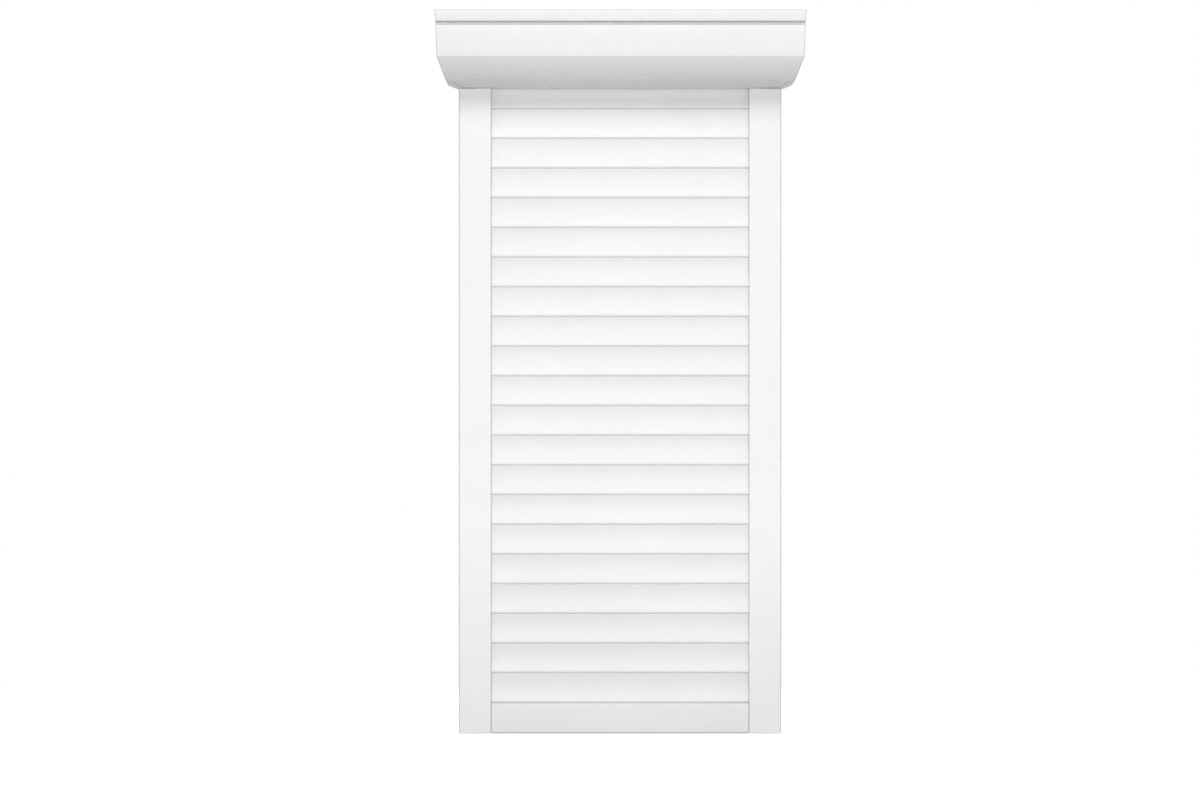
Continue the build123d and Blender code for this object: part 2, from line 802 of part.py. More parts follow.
with BuildPart() as motor_head:
    with BuildSketch(section_plane(bracket_face)) as head_section:
        turned(motor_head_radius)
    extrude(amount=motor_head_length)
    with BuildSketch(section_plane(head_face)) as spigot_section:
        turned(motor_radius - motor_shell - motor_spigot_fit)
    extrude(amount=motor_spigot_length)
write(motor_head.part, "motor_head")

# Spring clip round the motor's head
with BuildPart() as motor_clip:
    with BuildSketch(section_plane(bracket_face)) as clip_section:
        clip_inner = motor_head_radius + motor_spigot_fit
        turned(clip_inner + motor_clip_wall)
        turned(clip_inner, mode=Mode.SUBTRACT)
        with Locations((tube_depth, tube_height)):
            cut_mouth(2 * clip_inner, -90.0 - motor_clip_angle / 2, -90.0 + motor_clip_angle / 2)
    extrude(amount=motor_clip_width)
write(motor_clip.part, "motor_clip")

# Tubular motor: shell open towards its head, closed by the gearbox at its far end
motor_end = head_face - motor_length
with BuildPart() as motor_tube:
    with BuildSketch(section_plane(head_face)) as motor_section:
        disc(motor_radius)
        turned(motor_radius - motor_shell, mode=Mode.SUBTRACT)
    extrude(amount=motor_length)
    with BuildSketch(section_plane(motor_end + motor_gear_wall)) as gear_section:
        disc(motor_radius)
        disc(drive_shaft_radius + running_fit, mode=Mode.SUBTRACT)
    extrude(amount=motor_gear_wall)
write(motor_tube.part, "motor_tube")

# Crown ring that turns on the motor, and the drive wheel on its shaft; both turn the tube
with BuildPart() as crown_ring:
    with BuildSketch(section_plane(tube_end)) as crown_section:
        octagon(plug_flats)
        disc(motor_radius + running_fit, mode=Mode.SUBTRACT)
    extrude(amount=crown_length)
write(crown_ring.part, "crown_ring")

wheel_face = motor_end - drive_wheel_gap
with BuildPart() as drive_wheel:
    with BuildSketch(section_plane(wheel_face)) as wheel_section:
        octagon(plug_flats)
    extrude(amount=drive_wheel_length)
    with BuildSketch(section_plane(wheel_face + drive_shaft_length)) as shaft_section:
        disc(drive_shaft_radius)
    extrude(amount=drive_shaft_length)
write(drive_wheel.part, "drive_wheel")

# Hanger straps: a sprung clip round the top slat's hook, then a band over the tube
lean = math.radians(top_slat_lean)
bead_depth = interlock_depth + slat_pitch * math.sin(lean)
bead_height = top_axis + slat_pitch * math.cos(lean)
band_flat_radius = tube_flats / 2 + strap_tube_gap + strap_wall / 2
clip_radius = hook_radius + strap_hook_gap


def on_band(angle, flat_angle):
    """Place on the band at an angle about the tube, over the flat that faces the second angle."""
    reach = band_flat_radius / math.cos(math.radians(angle - flat_angle))
    turn = math.radians(angle)
    return tube_depth + reach * math.cos(turn), tube_height + reach * math.sin(turn)


with BuildPart() as strap:
    with BuildSketch(section_plane(strap_width / 2)) as strap_section:
        with BuildLine() as band_line:
            Polyline(
                (bead_depth, bead_height),
                on_band(top_flat_angle + half_octagon_angle, top_flat_angle),
                on_band(top_flat_angle - half_octagon_angle, top_flat_angle),
                on_band(strap_end_angle, strap_clip_angle),
            )
        trace(line_width=strap_wall)
        with Locations((bead_depth, bead_height)):
            RegularPolygon(clip_radius + strap_wall, hook_sides)
            RegularPolygon(clip_radius, hook_sides, mode=Mode.SUBTRACT)
            stem_angle = -90.0 - top_slat_lean
            cut_mouth(2 * clip_radius, stem_angle - strap_mouth_angle / 2, stem_angle + strap_mouth_angle / 2)
    extrude(amount=strap_width)

with BuildPart() as hanger_straps:
    with GridLocations(strap_spacing, 0, strap_count, 1):
        add(strap.part)
write(hanger_straps.part, "hanger_straps")

with BuildPart() as strap_clip:
    with BuildSketch(section_plane(strap_width / 2)) as clip_plate:
        with Locations(Location((tube_depth, tube_height), strap_clip_angle)):
            with Locations((tube_flats / 2 + strap_clip_wall / 2, 0)):
                Rectangle(strap_clip_wall, strap_clip_length)
    extrude(amount=strap_width)

with BuildPart() as strap_clips:
    with GridLocations(strap_spacing, 0, strap_count, 1):
        add(strap_clip.part)
write(strap_clips.part, "strap_clips")

# Rubber grommet for the motor's cable, in the back of the box
with BuildPart() as cable_grommet:
    with BuildSketch(Plane.XZ) as grommet_bush:
        with Locations((grommet_x, grommet_z)):
            RegularPolygon(grommet_radius, turned_sides)
    extrude(amount=panel_wall)
    with BuildSketch(Plane.XZ.offset(panel_wall)) as grommet_flange:
        with Locations((grommet_x, grommet_z)):
            RegularPolygon(grommet_flange_radius, turned_sides)
    extrude(amount=grommet_flange_wall)
    with BuildSketch(Plane.XZ) as cable_bore:
        with Locations((grommet_x, grommet_z)):
            Circle(grommet_bore_radius)
    extrude(amount=panel_wall + grommet_flange_wall + overrun, both=True, mode=Mode.SUBTRACT)
write(cable_grommet.part, "cable_grommet")
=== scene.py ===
"""Looks of an exterior roller shutter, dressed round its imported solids."""

import json
import logging
import math
from dataclasses import dataclass
from enum import Enum

import bpy
import numpy as np
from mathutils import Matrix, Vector


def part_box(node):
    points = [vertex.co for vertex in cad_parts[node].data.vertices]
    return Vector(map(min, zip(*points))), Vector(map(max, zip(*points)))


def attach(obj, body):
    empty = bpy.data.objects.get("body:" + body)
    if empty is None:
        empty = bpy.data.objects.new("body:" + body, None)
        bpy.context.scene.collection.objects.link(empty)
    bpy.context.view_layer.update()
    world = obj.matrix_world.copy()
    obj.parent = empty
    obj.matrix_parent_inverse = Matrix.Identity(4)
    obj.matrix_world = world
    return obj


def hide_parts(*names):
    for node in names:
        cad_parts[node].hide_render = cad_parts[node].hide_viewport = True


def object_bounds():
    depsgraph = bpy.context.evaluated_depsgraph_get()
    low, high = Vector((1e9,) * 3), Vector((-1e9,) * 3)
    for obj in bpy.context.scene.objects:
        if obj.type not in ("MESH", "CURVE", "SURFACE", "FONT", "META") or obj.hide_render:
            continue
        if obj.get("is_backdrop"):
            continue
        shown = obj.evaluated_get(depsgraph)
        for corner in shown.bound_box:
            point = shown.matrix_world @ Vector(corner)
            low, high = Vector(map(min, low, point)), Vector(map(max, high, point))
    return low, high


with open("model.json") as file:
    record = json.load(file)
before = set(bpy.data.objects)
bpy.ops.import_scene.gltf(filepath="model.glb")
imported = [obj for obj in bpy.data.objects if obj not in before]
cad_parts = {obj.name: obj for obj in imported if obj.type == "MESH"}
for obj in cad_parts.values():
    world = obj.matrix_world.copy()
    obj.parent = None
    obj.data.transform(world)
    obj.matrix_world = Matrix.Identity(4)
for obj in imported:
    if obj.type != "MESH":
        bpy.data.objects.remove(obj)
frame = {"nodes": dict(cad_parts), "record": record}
log = logging.getLogger("roller_shutter")

Socket = bpy.types.NodeSocket
Surface = tuple[np.ndarray, list]
Triple = tuple[float, float, float]
Pair = tuple[float, float]

MM = 0.001
SHARP_ANGLE = math.radians(32.0)
GENTLE_TURN = math.radians(20.0)
LEG_SHARE = 0.48
CURVE_POINTS = 7
LONG_SIDE = 4
SCREW_SOLID_RADIUS = 4.0
BAR_BEYOND_SEAL = 2.0


class Slot(Enum):
    """Material slots of the record."""

    SLAT = "slat_white"
    RAIL = "rail_white"
    BOX = "box_white"
    CAP = "cap_white"
    BRUSH = "brush_grey"
    FOOT = "foot_plastic"
    GUIDE = "guide_plastic"
    GALVANISED = "galvanised_steel"
    BRIGHT = "bright_steel"
    MOTOR = "motor_paint"
    RUBBER = "seal_rubber"
    BLACK = "black_plastic"


class NodeGraph:
    """Thin helper that adds and links the shader nodes of one material or world."""

    def __init__(self, owner: bpy.types.Material | bpy.types.World) -> None:
        """Empties the owner's node tree and keeps it."""
        owner.use_nodes = True
        self.tree = owner.node_tree
        self.tree.nodes.clear()

    def add(self, kind: str, **settings: object) -> bpy.types.Node:
        """Adds a node and sets its properties, or its inputs where the name is one.

        Args:
            kind: Blender's node type.
            **settings: Property names, or input names with spaces written as underscores.

        Returns:
            The new node.
        """
        node = self.tree.nodes.new(kind)
        for name, value in settings.items():
            label = name.replace("_", " ").title()
            if label in node.inputs:
                node.inputs[label].default_value = value
            else:
                setattr(node, name, value)
        return node

    def link(self, source: Socket, target: Socket) -> None:
        """Links one socket to another."""
        self.tree.links.new(source, target)

    def combined(self, operation: str, first: Socket, second: Socket) -> Socket:
        """Combines two values.

        Args:
            operation: Name of the sum, such as MULTIPLY.
            first: Socket of the first value.
            second: Socket of the second value.

        Returns:
            The result's socket.
        """
        node = self.add("ShaderNodeMath", operation=operation)
        self.link(first, node.inputs[0])
        self.link(second, node.inputs[1])
        return node.outputs["Value"]

    def object_noise(self, scale: float, detail: float, stretch: Triple = (1.0, 1.0, 1.0)) -> Socket:
        """Noise over the object's own coordinates.

        Args:
            scale: Number of cells in a metre.
            detail: Octaves of the noise.
            stretch: Factor on each axis, below 1 for longer cells.

        Returns:
            The noise's value socket.
        """
        place = self.add("ShaderNodeTexCoord")
        mapping = self.add("ShaderNodeMapping", scale=stretch)
        noise = self.add("ShaderNodeTexNoise", scale=scale, detail=detail, roughness=0.55)
        self.link(place.outputs["Object"], mapping.inputs["Vector"])
        self.link(mapping.outputs["Vector"], noise.inputs["Vector"])
        return noise.outputs["Fac"]

    def ranged(self, source: Socket, low: float, high: float, to_low: float, to_high: float) -> Socket:
        """Maps a value from one range to another, held inside it.

        Args:
            source: Socket of the value.
            low: Value that becomes to_low.
            high: Value that becomes to_high.
            to_low: Start of the new range.
            to_high: End of the new range.

        Returns:
            The mapped value's socket.
        """
        node = self.add("ShaderNodeMapRange", from_min=low, from_max=high, to_min=to_low, to_max=to_high)
        self.link(source, node.inputs["Value"])
        return node.outputs["Result"]

    def mixed(self, share: Socket, first: object, second: object) -> Socket:
        """Mixes two colours.

        Args:
            share: Socket of the second colour's share.
            first: Colour or socket where the share is 0.
            second: Colour or socket where the share is 1.

        Returns:
            The mixed colour's socket.
        """
        node = self.add("ShaderNodeMix", data_type="RGBA")
        self.link(share, node.inputs["Factor"])
        for value, socket in ((first, node.inputs[6]), (second, node.inputs[7])):
            if isinstance(value, Socket):
                self.link(value, socket)
            else:
                socket.default_value = (*value, 1.0)
        return node.outputs[2]


@dataclass(frozen=True)
class Coating:
    """Even coat with fine texture, slow changes of shade, rain streaks and painted shade, darker where the
    mesh's edge attribute marks edges, creases and gaps.
    """

    slot: Slot
    colour: Triple
    roughness: float
    metallic: float = 0.0
    grain_per_metre: float = 900.0
    grain_height: float = 0.02 * MM
    grain_strength: float = 0.5
    shade_change: float = 0.03
    streak_change: float = 0.02
    roughness_change: float = 0.12
    # Painted shade: colour factor where the edge attribute is 1, and the range of its patchy share.
    painted_shade_tint: float = 0.62
    painted_shade_share: Pair = (0.35, 0.75)
    spangle: float = 0.0
    clouds_per_metre: float = 3.0
    streaks_per_metre: float = 30.0
    streak_stretch: Triple = (1.0, 1.0, 0.06)
    patches_per_metre: float = 60.0
    spots_per_metre: float = 220.0
    crystals_per_metre: float = 160.0

    def material(self) -> bpy.types.Material:
        """Builds the finish as a node material."""
        made = bpy.data.materials.new(self.slot.value)
        graph = NodeGraph(made)
        shader = graph.add("ShaderNodeBsdfPrincipled", metallic=self.metallic)
        output = graph.add("ShaderNodeOutputMaterial")
        graph.link(shader.outputs["BSDF"], output.inputs["Surface"])

        cloud = graph.object_noise(self.clouds_per_metre, 3.0)
        streak = graph.object_noise(self.streaks_per_metre, 4.0, self.streak_stretch)
        darker = tuple(value * (1.0 - self.shade_change) for value in self.colour)
        streaked = tuple(value * (1.0 - self.streak_change) for value in self.colour)
        clouded = graph.mixed(graph.ranged(cloud, 0.3, 0.7, 0.0, 1.0), self.colour, darker)
        washed = graph.mixed(graph.ranged(streak, 0.55, 0.8, 0.0, 1.0), clouded, streaked)
        if self.spangle:
            washed = self._spangled(graph, washed)
        shaded = self._with_painted_shade(graph, washed)
        graph.link(shaded, shader.inputs["Base Color"])

        uneven = graph.object_noise(self.patches_per_metre, 4.0)
        smoother = self.roughness * (1.0 - self.roughness_change)
        rougher = self.roughness * (1.0 + self.roughness_change)
        roughness = graph.ranged(uneven, 0.3, 0.7, smoother, rougher)
        graph.link(roughness, shader.inputs["Roughness"])

        grain = graph.object_noise(self.grain_per_metre, 2.0)
        bump = graph.add("ShaderNodeBump", strength=self.grain_strength, distance=self.grain_height)
        graph.link(grain, bump.inputs["Height"])
        graph.link(bump.outputs["Normal"], shader.inputs["Normal"])
        return made

    def _with_painted_shade(self, graph: NodeGraph, colour: Socket) -> Socket:
        """Paints shade into the coat where the mesh's edge attribute is high, more so in spots."""
        # Painted shade: the edge attribute marks edges, the groove and the gaps between slats, where the
        # coat is darkened to stand for shade.
        edge = graph.add("ShaderNodeAttribute", attribute_name="edge")
        spots = graph.object_noise(self.spots_per_metre, 3.0)
        patchy = graph.ranged(spots, 0.4, 0.75, *self.painted_shade_share)
        share = graph.combined("MULTIPLY", edge.outputs["Fac"], patchy)
        shade_colour = tuple(value * self.painted_shade_tint for value in self.colour)
        return graph.mixed(share, colour, shade_colour)

    def _spangled(self, graph: NodeGraph, colour: Socket) -> Socket:
        """Adds the crystal pattern of zinc to a colour."""
        place = graph.add("ShaderNodeTexCoord")
        cells = graph.add("ShaderNodeTexVoronoi", scale=self.crystals_per_metre)
        graph.link(place.outputs["Object"], cells.inputs["Vector"])
        grey = graph.add("ShaderNodeRGBToBW")
        graph.link(cells.outputs["Color"], grey.inputs["Color"])
        share = graph.ranged(grey.outputs["Val"], 0.2, 0.8, 0.0, self.spangle)
        lighter = tuple(min(1.0, value * 1.25) for value in self.colour)
        return graph.mixed(share, colour, lighter)


COATINGS = (
    Coating(Slot.SLAT, (0.86, 0.86, 0.86), 0.42),
    Coating(Slot.RAIL, (0.86, 0.86, 0.86), 0.40),
    Coating(Slot.BOX, (0.82, 0.82, 0.82), 0.40),
    Coating(Slot.CAP, (0.82, 0.82, 0.82), 0.40),
    Coating(
        Slot.BRUSH, (0.30, 0.30, 0.31), 0.9, grain_per_metre=2500.0, grain_height=0.2 * MM, shade_change=0.15
    ),
    Coating(Slot.FOOT, (0.74, 0.74, 0.73), 0.5, grain_per_metre=1500.0),
    Coating(Slot.GUIDE, (0.62, 0.62, 0.61), 0.5, grain_per_metre=1500.0),
    Coating(Slot.GALVANISED, (0.52, 0.54, 0.56), 0.38, metallic=1.0, spangle=0.8),
    Coating(Slot.BRIGHT, (0.62, 0.63, 0.64), 0.28, metallic=1.0, grain_per_metre=2000.0),
    Coating(Slot.MOTOR, (0.035, 0.037, 0.04), 0.45),
    Coating(Slot.RUBBER, (0.48, 0.48, 0.485), 0.75, grain_per_metre=2500.0, grain_height=0.05 * MM),
    Coating(Slot.BLACK, (0.02, 0.02, 0.022), 0.5, grain_per_metre=1500.0, grain_height=0.04 * MM),
)
MATERIALS = {coating.slot: coating.material() for coating in COATINGS}


def placed(name: str, data: bpy.types.ID) -> bpy.types.Object:
    """Makes an object from its data and links it into the scene."""
    made = bpy.data.objects.new(name, data)
    bpy.context.scene.collection.objects.link(made)
    return made


def new_piece(
    name: str, points: np.ndarray, faces: list, slot: Slot, body: str, edge: np.ndarray | None = None
) -> bpy.types.Object:
    """Makes a piece from computed points and lets it ride on a body.

    Args:
        name: Name of the piece.
        points: Places in metres, in the shared frame, one row each.
        faces: Lists of point numbers, outwards.
        slot: Finish of the piece.
        body: Body that carries it.
        edge: Painted shade of each point, 0 for none, or None for none anywhere.

    Returns:
        The new object.
    """
    mesh = bpy.data.meshes.new(name)
    mesh.from_pydata(points.tolist(), [], faces)
    if edge is not None:
        attribute = mesh.attributes.new("edge", "FLOAT", "POINT")
        attribute.data.foreach_set("value", np.ascontiguousarray(edge, np.float32))
    mesh.shade_smooth()
    mesh.set_sharp_from_angle(angle=SHARP_ANGLE)
    mesh.materials.append(MATERIALS[slot])
    made = placed(name, mesh)
    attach(made, body)
    log.info("%s: %d faces on %s", name, len(faces), body)
    return made


def both_sides(
    stem: str, ending: str, points: np.ndarray, faces: list, slot: Slot, edge: np.ndarray | None = None
) -> None:
    """Makes the right piece of a pair and its mirror image on the left, both on the frame.

    Args:
        stem: First part of both names, before the side.
        ending: Last part of both names. Where it isn't empty, each piece stands for its solid.
        points: Places of the right piece in metres.
        faces: Faces of the right piece.
        slot: Finish of both.
        edge: Painted shade of each point, or None.
    """
    mirror = np.array([-1.0, 1.0, 1.0])
    turned = [face[::-1] for face in faces]
    for side, side_points, side_faces in (("right", points, faces), ("left", points * mirror, turned)):
        made = new_piece(f"{stem}_{side}{ending}", side_points, side_faces, slot, "frame", edge)
        if ending:
            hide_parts(f"{stem}_{side}")


def box_in_mm(node: str) -> tuple[np.ndarray, np.ndarray]:
    """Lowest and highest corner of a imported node, in millimetres."""
    low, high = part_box(node)
    return np.array(low) / MM, np.array(high) / MM


def ring_faces(rings: int, around: int, closed: bool = False) -> list:
    """Quads between neighbouring closed rings of points, facing away from the rings' axis.

    Args:
        rings: Number of rings, one after another towards +X.
        around: Points in each ring, counter-clockwise in (depth, height).
        closed: Whether the first ring follows the last.

    Returns:
        Lists of four point numbers.
    """
    number = np.arange(rings if closed else rings - 1)[:, None]
    ring, following = number * around, (number + 1) % rings * around
    here = np.arange(around)[None, :]
    after = (here + 1) % around
    quads = np.stack([ring + here, following + here, following + after, ring + after], axis=-1)
    return quads.reshape(-1, 4).tolist()


def closed_loft(rings: np.ndarray) -> Surface:
    """Skins a row of closed rings and closes both ends.

    Args:
        rings: Places as (ring, point, axis), turning so that the skin faces outwards.

    Returns:
        Points and faces of the closed surface.
    """
    count, around = rings.shape[:2]
    faces = ring_faces(count, around)
    faces.append(list(range(around)))
    last = (count - 1) * around
    faces.append(list(range(last + around - 1, last - 1, -1)))
    return rings.reshape(-1, 3), faces


def in_space(across: np.ndarray, section: np.ndarray) -> np.ndarray:
    """Sets sections of (depth, height) along X.

    Args:
        across: X of the points, as (ring, 1) or (ring, point).
        section: The one section as (point, 2), or all of them as (ring, point, 2).

    Returns:
        Places as (ring, point, axis).
    """
    rings = np.empty((len(across), section.shape[-2], 3))
    rings[:, :, 0] = across
    rings[:, :, 1] = -section[..., 0]
    rings[:, :, 2] = section[..., 1]
    return rings


def extruded(outline: np.ndarray, stations: np.ndarray) -> Surface:
    """Runs a closed, counter-clockwise section of (depth, height) along X, through rising stations."""
    return closed_loft(in_space(stations[:, None], outline))


def upright(outline: np.ndarray, heights: np.ndarray) -> Surface:
    """Runs a closed, counter-clockwise plan of (x, depth) along Z, through rising heights."""
    rings = np.empty((len(heights), len(outline), 3))
    rings[:, :, 0] = outline[None, :, 0]
    rings[:, :, 1] = -outline[None, :, 1]
    rings[:, :, 2] = heights[:, None]
    return closed_loft(rings)


def joined(shells: list[Surface]) -> Surface:
    """Puts several closed surfaces into one array of points and one list of faces."""
    faces = []
    base = 0
    for points, shell_faces in shells:
        faces.extend([[point + base for point in face] for face in shell_faces])
        base += len(points)
    return np.vstack([points for points, _ in shells]), faces


def bulge(share: np.ndarray) -> np.ndarray:
    """Parabola that is 0 at shares 0 and 1 and reaches 1 halfway."""
    return 1.0 - (2.0 * share - 1.0) ** 2


def arc(centre: Pair, radius: float, start: float, end: float, steps: int) -> np.ndarray:
    """Points along an arc in (depth, height).

    Args:
        centre: Centre of the arc.
        radius: Radius of the arc.
        start: First angle in degrees.
        end: Last angle in degrees.
        steps: Number of steps between them.

    Returns:
        One row for each point, both ends included.
    """
    turn = np.radians(np.linspace(start, end, steps + 1))
    return np.column_stack([centre[0] + radius * np.cos(turn), centre[1] + radius * np.sin(turn)])


def soften(corners: np.ndarray, radius: float) -> np.ndarray:
    """Rounds the sharp corners of an open line and keeps the gentle ones.

    A sharp corner gives way to a quadratic curve whose ends lie on both legs, at the distance
    where an arc of the radius would touch them, but not past the middle of a leg.

    Args:
        corners: Rows of (depth, height) in millimetres.
        radius: Radius of the rounding in millimetres.

    Returns:
        Rows of the rounded line.
    """
    made = [corners[:1]]
    for before, here, after in zip(corners[:-2], corners[1:-1], corners[2:]):
        first = (before - here) / np.linalg.norm(before - here)
        second = (after - here) / np.linalg.norm(after - here)
        opening = math.acos(float(np.clip(first @ second, -1.0, 1.0)))
        if math.pi - opening < GENTLE_TURN:
            made.append(here[None, :])
            continue
        leg = min(np.linalg.norm(before - here), np.linalg.norm(after - here))
        reach = min(radius / math.tan(opening / 2), LEG_SHARE * leg)
        share = np.linspace(0.0, 1.0, CURVE_POINTS)[:, None]
        start, end = here + first * reach, here + second * reach
        made.append((1 - share) ** 2 * start + 2 * share * (1 - share) * here + share**2 * end)
    made.append(corners[-1:])
    return np.vstack(made)


def sheet_outline(path: np.ndarray, wall: float) -> np.ndarray:
    """Closed outline of a sheet, counter-clockwise.

    Args:
        path: Line of its outer side as rows of (depth, height), with the sheet on its left.
        wall: Thickness of the sheet.

    Returns:
        Rows of the closed outline.
    """
    along = np.gradient(path, axis=0)
    along /= np.linalg.norm(along, axis=1)[:, None]
    left = np.column_stack([-along[:, 1], along[:, 0]])
    return np.vstack([path, (path + left * wall)[::-1]])


def supported(outline: np.ndarray, reach: float = 0.8) -> np.ndarray:
    """Adds a point beside each end of a closed outline's long sides, so that they shade flat.

    Args:
        outline: Rows of the closed outline in millimetres.
        reach: Distance of the added points from the ends.

    Returns:
        Rows of the outline with the added points.
    """
    after = np.roll(outline, -1, axis=0)
    length = np.linalg.norm(after - outline, axis=1)
    made = []
    for start, end, long in zip(outline, after, length):
        made.append(start)
        if long > LONG_SIDE * reach:
            step = (end - start) * reach / long
            made.extend([start + step, end - step])
    return np.array(made)


def rounded_block(low: Pair, high: Pair, radius: float) -> np.ndarray:
    """Rectangle in (depth, height) with rounded corners, counter-clockwise.

    Args:
        low: Corner with the smallest values.
        high: Corner with the largest values.
        radius: Radius of the corners.

    Returns:
        Rows of the closed outline.
    """
    near, far = (low[0] + radius, high[0] - radius), (low[1] + radius, high[1] - radius)
    return supported(np.vstack([
        arc((near[1], far[0]), radius, -90.0, 0.0, 6),
        arc((near[1], far[1]), radius, 0.0, 90.0, 6),
        arc((near[0], far[1]), radius, 90.0, 180.0, 6),
        arc((near[0], far[0]), radius, 180.0, 270.0, 6),
    ]))


@dataclass(frozen=True)
class SlatProfile:
    """Section of a slat: two bowed skins over a curl, and a hook on top, all in millimetres."""

    pitch: float
    depth: float = 15.0
    curl_radius: float = 5.5
    wall: float = 1.3
    bow: float = 3.0
    front_bow: float = 5.0
    shoulder_drop: float = 5.9
    shoulder_radius: float = 2.0
    hook_radius: float = 3.7
    hook_mouth: float = 160.0
    rear_lip_angle: float = 258.0
    lip_taper: float = 4.0

    def hook(self, axis: float, foot: float) -> np.ndarray:
        """Open outline of the stem and the round hook, from the stem's front foot to its back foot.

        Args:
            axis: Height of the hook's centre.
            foot: Height where the stem starts.

        Returns:
            Rows of (depth, height).
        """
        centre = (self.depth, axis)
        stem = self.wall / 2
        stem_angle = math.degrees(math.asin(stem / self.hook_radius))
        mouth = self.hook_mouth
        return np.vstack([
            [(self.depth + stem, foot)],
            arc(centre, self.hook_radius, -90.0 + stem_angle, 90.0, 16),
            arc(centre, self.hook_radius - self.wall, 90.0, mouth - 360.0, 24),
            arc(centre, self.hook_radius, mouth, 270.0 - stem_angle, 12),
            [(self.depth - stem, foot)],
        ])

    def outline(self, front_lip_angle: float) -> np.ndarray:
        """Closed outline about the interlock's axis, counter-clockwise.

        The faces are parabolas that sink by the bow at half height, the curl and the hook are
        pairs of concentric arcs, and the shoulders are rounded.

        Args:
            front_lip_angle: Angle below the horizontal where the curl's front lip ends, in degrees.

        Returns:
            Rows of (depth, height) in millimetres.
        """
        centre = (self.depth, 0.0)
        front_depth, rear_depth = self.depth + self.curl_radius, self.depth - self.curl_radius
        shoulder = self.pitch - self.shoulder_drop
        corner = self.shoulder_radius
        rise = np.linspace(0.0, shoulder - corner, 25)[1:-1]
        hollow = bulge(rise / shoulder)
        lip = self.wall / 2
        lip_middle = self.curl_radius - lip
        turn = math.radians(-front_lip_angle)
        lip_centre = (self.depth + lip_middle * math.cos(turn), lip_middle * math.sin(turn))
        bore = self.curl_radius - self.wall
        return np.vstack([
            arc(centre, self.curl_radius, 180.0, self.rear_lip_angle, 16),
            arc(centre, bore, self.rear_lip_angle, self.lip_taper - front_lip_angle, 40),
            arc(lip_centre, lip, 180.0 - front_lip_angle, 360.0 - front_lip_angle, 8),
            arc(centre, self.curl_radius, -front_lip_angle, 0.0, 14)[1:],
            np.column_stack([front_depth - self.front_bow * hollow, rise]),
            arc((front_depth - corner, shoulder - corner), corner, 0.0, 90.0, 5),
            self.hook(self.pitch, shoulder),
            arc((rear_depth + corner, shoulder - corner), corner, 90.0, 180.0, 5),
            np.column_stack([rear_depth - self.bow * hollow, rise])[::-1],
        ])


@dataclass(frozen=True)
class Curtain:
    """All slats but the bottom one, as smooth extrusions over their solids."""

    profile: SlatProfile
    names: list[str]
    stations: int = 13
    covering_lip: float = 72.0
    folding_lip: float = 1.0
    lean: float = 25.0
    low_edge: float = 6.0
    edge_spread: float = 4.0
    front_share: float = 0.8
    painted_edge_shade: float = 0.25

    def build(self) -> None:
        """Builds each slat in place: the hanging ones upright, the top one leaning."""
        first_axis = box_in_mm("slat_01")[1][2] - self.profile.pitch - self.profile.hook_radius
        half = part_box("slat_01")[1].x
        for number, name in enumerate(self.names):
            leaning = number == 0
            outline = self.profile.outline(self.folding_lip if leaning else self.covering_lip)
            if leaning:
                outline = self._leaned(outline)
            outline[:, 1] += first_axis - (number - 1) * self.profile.pitch
            points, faces = extruded(outline * MM, np.linspace(-half, half, self.stations))
            body = "top_slat" if leaning else "curtain"
            # Painted shade beside the gaps between slats, carried by the edge attribute.
            edge = np.tile(self._painted_shade(outline), self.stations)
            made = new_piece(f"{name}_skin", points, faces, Slot.SLAT, body, edge)
            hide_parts(name)

    def _leaned(self, outline: np.ndarray) -> np.ndarray:
        """Turns a section about its interlock axis, top away from the wall."""
        turn = math.radians(self.lean)
        across = outline[:, 0] - self.profile.depth
        up = outline[:, 1]
        depth = self.profile.depth + across * math.cos(turn) + up * math.sin(turn)
        height = up * math.cos(turn) - across * math.sin(turn)
        return np.column_stack([depth, height])

    def _painted_shade(self, outline: np.ndarray) -> np.ndarray:
        """Painted shade of each point: some along the lower front edge and the shoulder, beside the gaps
        between slats, none elsewhere.
        """
        front = outline[:, 0] > self.profile.depth + self.front_share * self.profile.curl_radius
        rise = outline[:, 1] - outline[:, 1].min()
        low = np.exp(-(((rise - self.low_edge) / self.edge_spread) ** 2))
        high = np.exp(-(((rise - self.profile.pitch) / self.edge_spread) ** 2))
        return self.painted_edge_shade * front * np.maximum(low, high)


